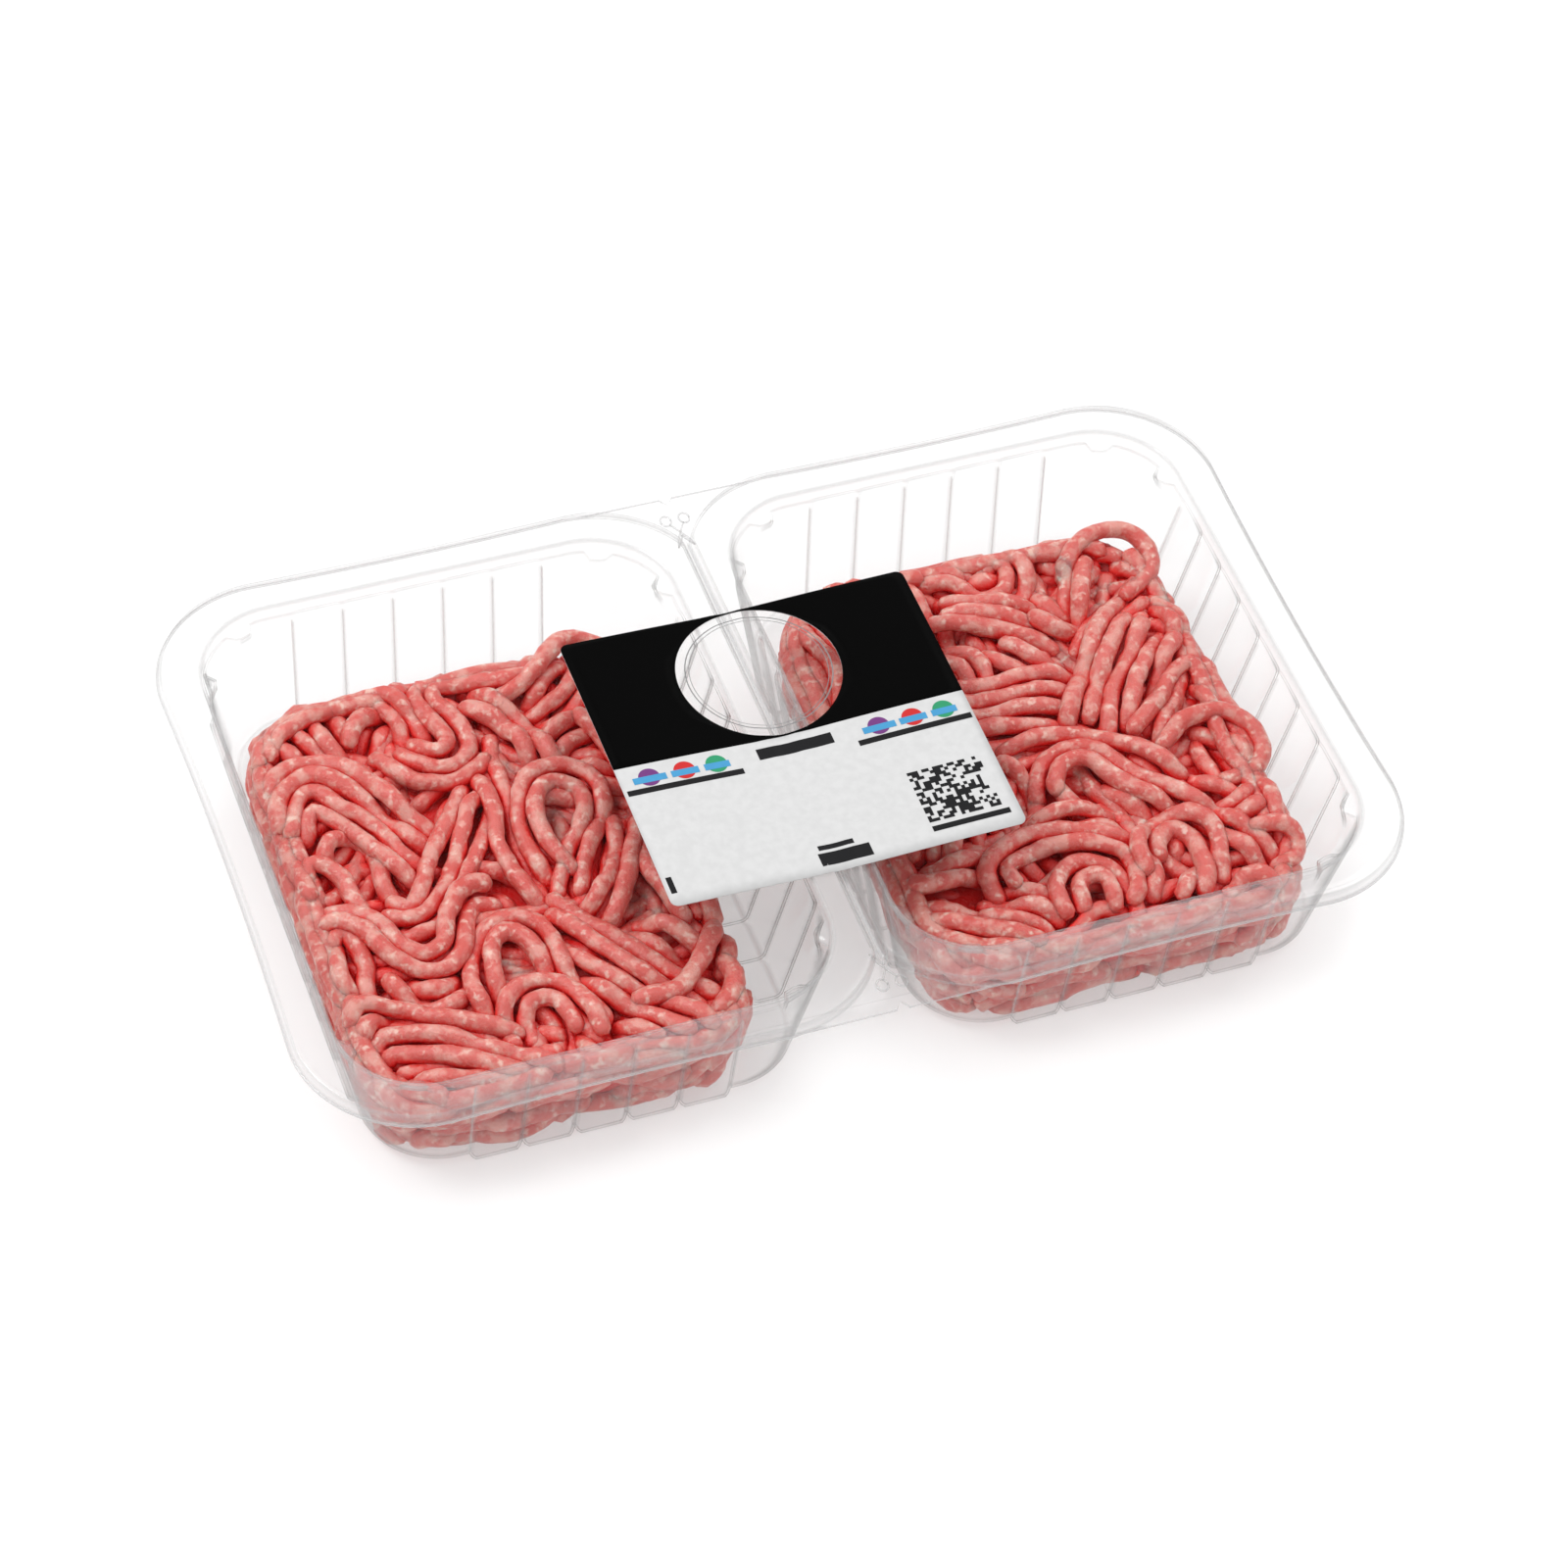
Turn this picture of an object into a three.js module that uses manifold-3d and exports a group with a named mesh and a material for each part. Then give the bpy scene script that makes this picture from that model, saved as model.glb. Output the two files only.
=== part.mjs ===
// A sealed twin pack of minced meat: a clear tray with two cells, a heap of mince in each,
// a clear film over both and a label across the middle.
// Millimetres, +Z up. The origin is on the ground under the middle of the pack,
// the two cells stand side by side along X, and the front of the pack faces -Y.
import * as THREE from 'three';
import { mergeVertices } from 'three/addons/utils/BufferGeometryUtils.js';
import Module from 'manifold-3d';

const wasm = await Module();
wasm.setup();

// Tray
const rimHeight = 44;
const sheet = 0.6;
const cellMiddle = 76.25;
const openingHalf = { x: 68.25, y: 85.5 };
const openingRadius = 24;
const rimHalf = { x: 77.95, y: 94 };
const rimRadius = 32;
const rimBow = { x: 1.3, y: 0.8 };
const skirtDrop = 3;
const skirtFlare = 0.9;
const flangeWidth = 0.5;
const bridgeHalf = { x: 30, y: 95 };
const recess = { halfX: 26, innerY: 60, outerY: 91, depth: 0.2 };
const groove = { topHalf: 1.5, bottomHalf: 0.9 };
const rimEdge = 0.5;
const rimSteps = 6;

// How far a cutting solid runs past what it cuts
const overshoot = 1;

// Walls of a cell, as depths below the rim and as insets from the opening's edge
const lip = { inset: 1.5, depth: 1.5 };
const band = { inset: 1.7, depth: 4.2 };
const panelTopDepth = 7.6;
const taper = { x: tangent(11.4), y: tangent(6.2) };
const cornerEase = 0.45;
const floor = { top: 3, wallEnd: 3.8, round: 1.6 };
const foot = { drop: 2.4, width: 4.2, slope: 1.4 };
const footPanel = { start: 0.9, end: 0.2 };

// Panels bulge outwards between the ribs, and stacking lugs stand in the corners
const panelBulge = 1.6;
const ribHalfWidth = 1.7;
const frontRibs = { count: 4, pitch: 14.45 };
const sideRibs = { count: 7, pitch: 13.65 };
const lugRise = 3.2;
const lugShareBelow = 0.3;
const cornerSteps = 6;
const lugSteps = [1, 5];

// Film and label
const filmThickness = 0.3;
const gap = 0.3;
const domeRise = 2.2;
const filmHalf = { x: 153.2, y: 93.2 };
const filmRadius = 31;
const filmSteps = 4;
const labelMiddle = { x: 2.2, y: -2 };
const labelHalf = { x: 50.2, y: 47.7 };
const labelRadius = 2.2;
const labelThickness = 0.25;

// Heaps of mince
const strandRadius = 2.8;
const strandSides = 5;
const strandStep = 11;
const strandPoints = { least: 5, most: 10 };
const heapClearance = 0.4;
const heapTop = 26.6;
const heapLeft = { x: -80.4, y: -6.4, halfX: 56.2, halfY: 73.3 };
const heapRight = { x: 75.7, y: -6.4, halfX: 59.8, halfY: 73.3 };
const strandRows = 3;
const sideStrands = [
  { z: 9.5, from: 0 },
  { z: 16.5, from: 12 },
  { z: 10, from: 21 },
];

const colours = { clear: 0xe9eef0, film: 0xf4f7f8, label: 0xe6e6e6, meat: 0xd9746c };

function tangent(degrees) {
  return Math.tan(THREE.MathUtils.degToRad(degrees));
}

// A repeatable random number from 0 to 1
function randomSource(seed) {
  let state = seed;
  return () => {
    state = (Math.imul(state, 1664525) + 1013904223) >>> 0;
    return state / 4294967296;
  };
}

// Geometry to solid and back
function solidOf(geometry) {
  const bare = geometry.clone();
  bare.deleteAttribute('normal');
  bare.deleteAttribute('uv');
  const merged = mergeVertices(bare, 1e-4);
  const mesh = new wasm.Mesh({
    numProp: 3,
    vertProperties: new Float32Array(merged.attributes.position.array),
    triVerts: new Uint32Array(merged.index.array),
  });
  return new wasm.Manifold(mesh);
}

function geometryOf(solid) {
  const mesh = solid.getMesh();
  const geometry = new THREE.BufferGeometry();
  geometry.setAttribute('position', new THREE.BufferAttribute(mesh.vertProperties, 3));
  geometry.setIndex(new THREE.BufferAttribute(mesh.triVerts, 1));
  geometry.computeVertexNormals();
  return geometry;
}

// The largest body of a solid, without loose scraps
function mainBody(solid) {
  const bodies = solid.decompose();
  return bodies.reduce((best, body) => (body.volume() > best.volume() ? body : best));
}

// A closed solid through rings of equally many points, each end closed by a fan
function loftedSolid(rings) {
  const count = rings[0].length;
  const points = rings.flat();
  const faces = [];
  for (let level = 0; level + 1 < rings.length; level += 1) {
    for (let i = 0; i < count; i += 1) {
      const a = level * count + i;
      const b = level * count + ((i + 1) % count);
      faces.push(a, b, b + count, a, b + count, a + count);
    }
  }
  for (const [ring, firstIndex] of [[rings[0], 0], [rings.at(-1), (rings.length - 1) * count]]) {
    const middle = new THREE.Vector3();
    ring.forEach((point) => middle.add(point));
    points.push(middle.divideScalar(count));
    for (let i = 0; i < count; i += 1) {
      const edge = [firstIndex + i, firstIndex + ((i + 1) % count)];
      const [a, b] = firstIndex === 0 ? [edge[1], edge[0]] : edge;
      faces.push(a, b, points.length - 1);
    }
  }
  const geometry = new THREE.BufferGeometry().setFromPoints(points);
  geometry.setIndex(faces);
  return solidOf(geometry);
}

// Stops round a rounded rectangle. Side 0 faces +X and the count goes on counterclockwise.
// A stop on a straight side has its place along it, and one on a corner its share of the turn.
function stopsRound(stopsOnSide, stopsOnCorner) {
  return [0, 1, 2, 3].flatMap((side) => [
    ...stopsOnSide(side).map((stop) => ({ side, ...stop })),
    ...stopsOnCorner(side).map((stop) => ({ side, ...stop })),
  ]);
}

function placeStop(stop, half, radius, inset, z) {
  const facesX = stop.side % 2 === 0;
  const reach = facesX ? half.x : half.y;
  const straight = (facesX ? half.y : half.x) - radius;
  let out = reach - inset;
  let along = stop.along ?? stop.share * straight;
  if (stop.turn !== undefined) {
    const angle = stop.turn * Math.PI / 2;
    out = reach - radius + (radius - inset) * Math.cos(angle);
    along = straight + (radius - inset) * Math.sin(angle);
  }
  const point = new THREE.Vector3(out, along, z);
  return point.applyAxisAngle(new THREE.Vector3(0, 0, 1), stop.side * Math.PI / 2);
}

function evenTurns(steps) {
  return Array.from({ length: steps + 1 }, (unused, i) => ({ turn: i / steps }));
}

// One side of a cell: ribs of three stops each, and a flank at either end of the panels
function panelStops(side) {
  const { count, pitch } = side % 2 === 0 ? sideRibs : frontRibs;
  const ends = (count + 1) / 2 * pitch;
  const stops = [{ along: -ends, panel: 0 }, { along: ribHalfWidth - ends, panel: 1 }];
  for (let i = 0; i < count; i += 1) {
    const middle = (i - (count - 1) / 2) * pitch;
    stops.push({ along: middle - ribHalfWidth, panel: 1 });
    stops.push({ along: middle, panel: 0 });
    stops.push({ along: middle + ribHalfWidth, panel: 1 });
  }
  stops.push({ along: ends - ribHalfWidth, panel: 1 }, { along: ends, panel: 0 });
  return stops;
}

// The corner stops, with two stacking lugs, mirrored from corner to corner
function lugStops(side) {
  return evenTurns(cornerSteps).map((stop, i) => {
    const step = side % 2 === 0 ? i : cornerSteps - i;
    return { ...stop, lug: lugSteps.includes(step) ? lugRise : 0 };
  });
}

const wallStops = stopsRound(panelStops, lugStops);
const bandStops = stopsRound(() => [], () => evenTurns(cornerSteps));

// The inside of a cell below its band: how far each level is in from the opening's edge on
// both pairs of walls, its height, how far in from the wall's end it lies on the floor,
// and how much of the panels, lugs and feet it has
function wallLevels() {
  const onWall = (depth, panel, lug) => ({
    x: band.inset + (depth - band.depth) * taper.x,
    y: band.inset + (depth - band.depth) * taper.y,
    z: rimHeight - depth,
    inward: 0,
    panel,
    lug,
    foot: 0,
  });
  const wallEnd = onWall(rimHeight - floor.wallEnd, 1, 0);
  const onFloor = (distance, panel, footShare) => ({
    x: wallEnd.x + distance,
    y: wallEnd.y + distance,
    z: floor.top,
    inward: distance,
    panel,
    lug: 0,
    foot: footShare,
  });
  return [
    onWall(band.depth, 0, 1),
    onWall(panelTopDepth, 1, lugShareBelow),
    wallEnd,
    onFloor(floor.round, footPanel.start, 1),
    onFloor(floor.round + foot.width, footPanel.end, 1),
    onFloor(floor.round + foot.width + foot.slope, 0, 0),
  ];
}

// The same levels moved out and down by the thickness of the sheet
function outerLevels(levels) {
  const mean = levels.map((level) => new THREE.Vector2((level.x + level.y) / 2, level.z));
  const normals = mean.slice(1).map((point, i) => {
    const along = point.clone().sub(mean[i]).normalize();
    return new THREE.Vector2(along.y, -along.x);
  });
  return levels.map((level, i) => {
    const before = normals[Math.max(i - 1, 0)];
    const after = normals[Math.min(i, normals.length - 1)];
    const shift = before.clone().add(after).multiplyScalar(sheet / (1 + before.dot(after)));
    return { ...level, x: level.x + shift.x, y: level.y + shift.x, z: level.z + shift.y };
  });
}

function ringAt(level, stops) {
  const half = { x: openingHalf.x - level.x, y: openingHalf.y - level.y };
  const wallInset = (level.x + level.y) / 2 - level.inward;
  const radius = openingRadius - cornerEase * wallInset - level.inward;
  return stops.map((stop) => {
    const bulge = (stop.panel ?? 0) * level.panel * panelBulge;
    const rise = (stop.lug ?? 0) * level.lug;
    const z = level.z - (stop.panel ?? 0) * level.foot * foot.drop;
    return placeStop(stop, half, radius, rise - bulge, z);
  });
}

// The plain band under the rim, then the wall with its panels and the floor under it
function cellSolid(bandTop, grow, levels) {
  const bare = { inward: 0, panel: 0, lug: 0, foot: 0 };
  const plain = (inset, z) => ({ x: inset - grow, y: inset - grow, z, ...bare });
  const bandBottom = rimHeight - band.depth - grow;
  const bandLevels = [
    plain(band.inset, bandBottom),
    plain(lip.inset, rimHeight - lip.depth),
    plain(0, bandTop),
  ];
  const wallTop = { ...levels[0], z: bandBottom + sheet / 3 };
  const wallUp = [wallTop, ...levels.slice(1)].reverse();
  const bandPart = loftedSolid(bandLevels.map((level) => ringAt(level, bandStops)));
  return bandPart.add(loftedSolid(wallUp.map((level) => ringAt(level, wallStops))));
}

function cellInside() {
  return cellSolid(rimHeight + overshoot, 0, wallLevels());
}

function cellOutside() {
  return cellSolid(rimHeight - sheet / 2, sheet, outerLevels(wallLevels()));
}

// A rounded block with bowed sides between two heights, for the rim and the sheet round it
const rimStops = stopsRound(
  () => [-0.6, 0, 0.6].map((share) => ({ share, bow: 1 - share ** 2 })),
  () => evenTurns(rimSteps),
);

function rimBlock(levels) {
  return loftedSolid(levels.map(({ grow, z }) => {
    const half = { x: rimHalf.x + grow, y: rimHalf.y + grow };
    return rimStops.map((stop) => {
      const bow = (stop.bow ?? 0) * (stop.side % 2 === 0 ? rimBow.x : rimBow.y);
      return placeStop(stop, half, rimRadius + grow, bow, z);
    });
  }));
}

function bothCells(solid) {
  return solid.translate([-cellMiddle, 0, 0]).add(solid.translate([cellMiddle, 0, 0]));
}

function boxSolid(minX, maxX, minY, maxY, minZ, maxZ) {
  const geometry = new THREE.BoxGeometry(maxX - minX, maxY - minY, maxZ - minZ);
  geometry.translate((minX + maxX) / 2, (minY + maxY) / 2, (minZ + maxZ) / 2);
  return solidOf(geometry);
}

// The groove that parts the two rims along the middle, widened by the sheet for the hollow side
function grooveCut(widen) {
  const bottom = rimHeight - skirtDrop - 2 * overshoot;
  const slope = (groove.topHalf - groove.bottomHalf) / skirtDrop;
  const halfAt = (z) => groove.topHalf + (z - rimHeight) * slope + widen;
  const top = rimHeight + overshoot;
  const shape = new THREE.Shape([
    new THREE.Vector2(-halfAt(bottom), bottom),
    new THREE.Vector2(halfAt(bottom), bottom),
    new THREE.Vector2(halfAt(top), top),
    new THREE.Vector2(-halfAt(top), top),
  ]);
  const length = 2 * (bridgeHalf.y + overshoot);
  const geometry = new THREE.ExtrudeGeometry(shape, { depth: length, bevelEnabled: false });
  geometry.rotateX(Math.PI / 2);
  geometry.translate(0, length / 2, 0);
  return solidOf(geometry);
}

// The flat sheet that joins the two rims at the foot of their skirts
function webSolid() {
  const top = rimHeight - skirtDrop;
  const flange = skirtFlare + flangeWidth;
  const cells = bothCells(rimBlock([{ grow: flange, z: top - sheet }, { grow: flange, z: top }]));
  const bridge = boxSolid(-bridgeHalf.x, bridgeHalf.x, -bridgeHalf.y, bridgeHalf.y, top - sheet, top);
  const recessTop = top - recess.depth;
  const recesses = [-1, 1].map((end) => {
    const edges = [end * recess.innerY, end * recess.outerY].sort((a, b) => a - b);
    return boxSolid(-recess.halfX, recess.halfX, edges[0], edges[1], recessTop, top + overshoot);
  });
  return cells.add(bridge).subtract(recesses[0]).subtract(recesses[1]);
}

function traySolid() {
  const top = rimHeight;
  const bottom = rimHeight - skirtDrop;
  const raised = rimBlock([
    { grow: skirtFlare, z: bottom - sheet / 2 },
    { grow: rimEdge, z: top - rimEdge },
    { grow: 0, z: top },
  ]);
  const hollow = rimBlock([
    { grow: skirtFlare - sheet, z: bottom - 2 * sheet },
    { grow: skirtFlare - sheet, z: bottom - sheet / 2 },
    { grow: -sheet, z: top - sheet },
  ]);
  const rims = bothCells(raised).subtract(grooveCut(0)).add(webSolid());
  const hollows = bothCells(hollow).subtract(grooveCut(sheet));
  const walls = rims.subtract(hollows).add(bothCells(cellOutside()));
  return mainBody(walls.subtract(bothCells(cellInside())));
}

// How far the gas in the pack lifts the film above the rim
function filmLift(x, y) {
  const u = (Math.abs(x) - cellMiddle) / openingHalf.x;
  const v = y / openingHalf.y;
  return domeRise * Math.max(0, 1 - u ** 2) * Math.max(0, 1 - v ** 2);
}

// A thin sheet that follows the film's lift over a grid
function liftedSheet(xs, ys, bottomZ, thickness) {
  const rowLength = xs.length;
  const layer = rowLength * ys.length;
  const points = [0, thickness].flatMap((rise) => (
    ys.flatMap((y) => xs.map((x) => new THREE.Vector3(x, y, bottomZ + filmLift(x, y) + rise)))
  ));
  const faces = [];
  for (let row = 0; row + 1 < ys.length; row += 1) {
    for (let column = 0; column + 1 < rowLength; column += 1) {
      const a = row * rowLength + column;
      const [b, c, d] = [a + 1, a + rowLength, a + rowLength + 1];
      faces.push(a, d, b, a, c, d);
      faces.push(a + layer, b + layer, d + layer, a + layer, d + layer, c + layer);
    }
  }
  const border = gridBorder(rowLength, ys.length);
  border.forEach((a, i) => {
    const b = border[(i + 1) % border.length];
    faces.push(a, b, b + layer, a, b + layer, a + layer);
  });
  const geometry = new THREE.BufferGeometry().setFromPoints(points);
  geometry.setIndex(faces);
  return solidOf(geometry);
}

// The indices round a grid's edge, counterclockwise
function gridBorder(columns, rows) {
  const last = columns * rows - 1;
  const border = [];
  for (let i = 0; i < columns - 1; i += 1) border.push(i);
  for (let i = 0; i < rows - 1; i += 1) border.push(columns - 1 + i * columns);
  for (let i = 0; i < columns - 1; i += 1) border.push(last - i);
  for (let i = 0; i < rows - 1; i += 1) border.push(last - (columns - 1) - i * columns);
  return border;
}

// A rounded rectangle that stands through the film and the label, to cut their outlines
function outlinePrism(middle, half, radius) {
  const shape = new THREE.Shape();
  const straight = { x: half.x - radius, y: half.y - radius };
  const corners = [[1, 1], [-1, 1], [-1, -1], [1, -1]];
  corners.forEach(([signX, signY], i) => {
    const start = i * Math.PI / 2;
    const x = middle.x + signX * straight.x;
    const y = middle.y + signY * straight.y;
    shape.absarc(x, y, radius, start, start + Math.PI / 2, false);
  });
  const curveSegments = radius === filmRadius ? 10 : 4;
  const depth = domeRise + 4 * overshoot;
  const geometry = new THREE.ExtrudeGeometry(shape, { depth, bevelEnabled: false, curveSegments });
  geometry.translate(0, 0, rimHeight - overshoot);
  return solidOf(geometry);
}

function spread(from, to, steps) {
  return Array.from({ length: steps + 1 }, (unused, i) => from + (to - from) * i / steps);
}

function filmSolid() {
  const bottom = rimHeight + gap;
  const [near, far] = [cellMiddle - openingHalf.x, cellMiddle + openingHalf.x];
  const right = spread(near, far, filmSteps);
  const left = right.map((x) => -x).reverse();
  const end = { x: filmHalf.x + overshoot, y: filmHalf.y + overshoot };
  const xs = [-end.x, ...left, ...right, end.x];
  const ys = [-end.y, ...spread(-openingHalf.y, openingHalf.y, filmSteps), end.y];
  const outline = outlinePrism({ x: 0, y: 0 }, filmHalf, filmRadius);
  return mainBody(liftedSheet(xs, ys, bottom, filmThickness).intersect(outline));
}

function labelSolid() {
  const bottom = rimHeight + gap + filmThickness + gap;
  const near = cellMiddle - openingHalf.x;
  const reach = { x: labelHalf.x + overshoot, y: labelHalf.y + overshoot };
  const left = spread(labelMiddle.x - reach.x, -near, 4);
  const right = spread(near, labelMiddle.x + reach.x, 4);
  const xs = [...left, ...right];
  const ys = spread(labelMiddle.y - reach.y, labelMiddle.y + reach.y, 5);
  const outline = outlinePrism(labelMiddle, labelHalf, labelRadius);
  return mainBody(liftedSheet(xs, ys, bottom, labelThickness).intersect(outline));
}

// A heap's core: rounded rings drawn in towards the top
const coreProfile = [
  { inset: 5, z: floor.top + heapClearance },
  { inset: 1, z: 7 },
  { inset: 0, z: 14 },
  { inset: 3.5, z: 20 },
  { inset: 10, z: 24 },
  { inset: 24, z: heapTop },
];
const coreStops = stopsRound(() => [-0.5, 0, 0.5].map((share) => ({ share })), () => evenTurns(4));
const coreRadius = 26;

function coreSolid(heap) {
  const rings = coreProfile.map(({ inset, z }) => {
    const half = { x: heap.halfX - strandRadius - inset, y: heap.halfY - strandRadius - inset };
    return coreStops.map((stop) => placeStop(stop, half, Math.max(coreRadius - inset / 2, 8), 0, z));
  });
  return loftedSolid(rings).translate([heap.x, heap.y, 0]);
}

// Height of the core's skin at a place that lies a given distance in from its edge
function coreHeight(inset) {
  const upper = coreProfile.slice(2);
  if (inset <= upper[0].inset) return upper[0].z;
  for (let i = 0; i + 1 < upper.length; i += 1) {
    const [a, b] = [upper[i], upper[i + 1]];
    if (inset < b.inset) return THREE.MathUtils.mapLinear(inset, a.inset, b.inset, a.z, b.z);
  }
  return heapTop;
}

// How far a place in a heap's plan is in from the heap's rounded edge, below zero outside
function edgeDistance(heap, x, y) {
  const inX = heap.halfX - strandRadius - coreRadius;
  const inY = heap.halfY - strandRadius - coreRadius;
  const dx = Math.abs(x - heap.x) - inX;
  const dy = Math.abs(y - heap.y) - inY;
  const outside = Math.hypot(Math.max(dx, 0), Math.max(dy, 0));
  return coreRadius - outside - Math.min(Math.max(dx, dy), 0);
}

// A strand of mince: a wavy line over the top that ends where it reaches the heap's edge
function topStrand(heap, start, heading, random) {
  const waveLength = 45 + 35 * random();
  const swing = 0.7 + 0.7 * random();
  const phase = 2 * Math.PI * random();
  const place = start.clone();
  const points = [];
  for (let i = 0; i < strandPoints.most; i += 1) {
    const inset = edgeDistance(heap, place.x, place.y);
    if (inset < 0) break;
    const z = coreHeight(inset) + 1.2 + 0.8 * Math.sin(i * 0.9 + phase);
    points.push(new THREE.Vector3(place.x, place.y, z));
    const angle = heading + swing * Math.sin(2 * Math.PI * i * strandStep / waveLength + phase);
    place.x += strandStep * Math.cos(angle);
    place.y += strandStep * Math.sin(angle);
  }
  return points;
}

// A strand of mince that runs along the side of the heap over part of its way round
function sideStrand(heap, { z, from }) {
  const half = { x: heap.halfX - strandRadius - 0.3, y: heap.halfY - strandRadius - 0.3 };
  const onSide = () => [-0.8, -0.4, 0, 0.4, 0.8].map((share) => ({ share }));
  const stops = stopsRound(onSide, () => evenTurns(4));
  return Array.from({ length: 14 }, (unused, i) => {
    const stop = stops[(from + i) % stops.length];
    const inset = 0.9 + 0.8 * Math.sin(1.7 * (from + i));
    const point = placeStop(stop, half, coreRadius, inset, z + 1.5 * Math.sin(0.8 * i + from));
    return point.add(new THREE.Vector3(heap.x, heap.y, 0));
  });
}

function strandSolid(points) {
  const shape = new THREE.Shape();
  for (let i = 0; i < strandSides; i += 1) {
    const angle = 2 * Math.PI * i / strandSides;
    const [x, y] = [strandRadius * Math.cos(angle), strandRadius * Math.sin(angle)];
    if (i === 0) shape.moveTo(x, y);
    else shape.lineTo(x, y);
  }
  shape.closePath();
  const path = new THREE.CatmullRomCurve3(points);
  const geometry = new THREE.ExtrudeGeometry(shape, {
    steps: points.length - 1,
    bevelEnabled: false,
    extrudePath: path,
  });
  return solidOf(geometry);
}

// The core with strands over its top, begun in the cells of a square grid, and round its side
function heapSolid(heap, seed) {
  const random = randomSource(seed);
  const reach = { x: heap.halfX - 12, y: heap.halfY - 12 };
  const placeIn = (cell) => 2 * (cell + 0.2 + 0.6 * random()) / strandRows - 1;
  let solid = coreSolid(heap);
  for (let i = 0; i < strandRows ** 2; i += 1) {
    const x = heap.x + placeIn(i % strandRows) * reach.x;
    const y = heap.y + placeIn(Math.floor(i / strandRows)) * reach.y;
    const start = new THREE.Vector2(x, y);
    const points = topStrand(heap, start, 2 * Math.PI * random(), random);
    if (points.length >= strandPoints.least) solid = solid.add(strandSolid(points));
  }
  for (const strand of sideStrands) {
    solid = solid.add(strandSolid(sideStrand(heap, strand)));
  }
  return mainBody(solid);
}

function meshOf(name, solid, color, roughness, opacity) {
  const material = new THREE.MeshStandardMaterial({
    color,
    roughness,
    metalness: 0,
    transparent: opacity < 1,
    opacity,
  });
  const mesh = new THREE.Mesh(geometryOf(solid), material);
  mesh.name = name;
  return mesh;
}

const group = new THREE.Group();
group.add(meshOf('tray', traySolid(), colours.clear, 0.08, 0.35));
group.add(meshOf('mince_left', heapSolid(heapLeft, 11), colours.meat, 0.45, 1));
group.add(meshOf('mince_right', heapSolid(heapRight, 29), colours.meat, 0.45, 1));
group.add(meshOf('lid_film', filmSolid(), colours.film, 0.05, 0.15));
group.add(meshOf('label', labelSolid(), colours.label, 0.4, 1));

export default group;
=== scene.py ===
"""Looks of the sealed twin pack of minced meat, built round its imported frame.

Sizes are in millimetres in the modelling functions and become metres in mesh_object().
The frame's ground is z = 0, +X runs from the left cell to the right one, the front faces -Y.
"""

import math

import bpy
import numpy as np
from mathutils import Matrix, Vector


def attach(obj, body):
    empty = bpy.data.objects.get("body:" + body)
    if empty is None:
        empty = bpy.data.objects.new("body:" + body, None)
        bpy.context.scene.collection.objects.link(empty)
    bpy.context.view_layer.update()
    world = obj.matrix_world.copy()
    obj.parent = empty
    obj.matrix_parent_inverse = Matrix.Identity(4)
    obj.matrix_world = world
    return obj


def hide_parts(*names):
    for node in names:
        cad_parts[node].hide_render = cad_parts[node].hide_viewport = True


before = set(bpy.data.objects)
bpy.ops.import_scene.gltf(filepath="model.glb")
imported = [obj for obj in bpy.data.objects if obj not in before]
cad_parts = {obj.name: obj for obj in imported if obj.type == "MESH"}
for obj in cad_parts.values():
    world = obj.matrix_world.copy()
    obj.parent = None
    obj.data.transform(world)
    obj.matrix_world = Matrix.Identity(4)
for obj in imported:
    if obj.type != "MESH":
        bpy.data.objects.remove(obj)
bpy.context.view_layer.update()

MM = 0.001
SEED = 20

# Tray
RIM_HEIGHT = 44.0
SHEET = 0.6
CELL_MIDDLE = 76.25
OPENING_HALF = (68.25, 85.5)
OPENING_RADIUS = 24.0
RIM_HALF = (77.95, 94.0)
RIM_RADIUS = 32.0
RIM_BOW = (1.3, 0.8)
SKIRT_DROP = 3.0
BRIDGE_HALF = (30.0, 95.0)
BAND_INSET, BAND_DEPTH = 1.7, 4.2
TAPER = (math.tan(math.radians(11.4)), math.tan(math.radians(6.2)))
CORNER_EASE = 0.45
FLOOR_TOP = 3.0
WALL_END = 3.8
FOOT_DROP = 2.4
PANEL_BULGE = 1.6
RIB_HALF_WIDTH = 1.9
RIBS_ACROSS = (4, 14.45)
RIBS_ALONG = (7, 13.65)
LUG_RISE = 3.2
LUG_TURNS = (11.0, 68.0)
LUG_HALF_TURN = 9.0
CORNER_STEPS = 22
FLANGE_GROW = 1.4
EDGE_LINE = 0.35
SCISSORS_PLACE = 82.0
SCISSORS_RADIUS = 0.28

# Clear sheets
HAZE_HEIGHTS = (0.038, 0.0425)
# Painted lines on the clear sheets: the first value darkens what shows through them, a painted shade, the
# second gives them a milky veil, a painted highlight
PAINTED_LINE_SHADE, PAINTED_LINE_HIGHLIGHT = 0.84, 0.26

# Film and label
FILM_HALF = (153.2, 93.2)
FILM_RADIUS = 31.0
FILM_BOTTOM = RIM_HEIGHT + 0.3
FILM_THICKNESS = 0.3
DOME_RISE = 2.2
FILM_SAG, FILM_SAG_HALF = 0.25, 3.8
LABEL_BOX = (-48.0, 52.4, -49.7, 45.7)
LABEL_RADIUS = 2.2
LABEL_BOTTOM = FILM_BOTTOM + FILM_THICKNESS + 0.1
LABEL_THICKNESS = 0.2
INK_RISE = 0.05
WINDOW = (1.9, 22.3, 22.9)
BAND_FRONT = -1.2
DISC_STEPS = 64

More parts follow.
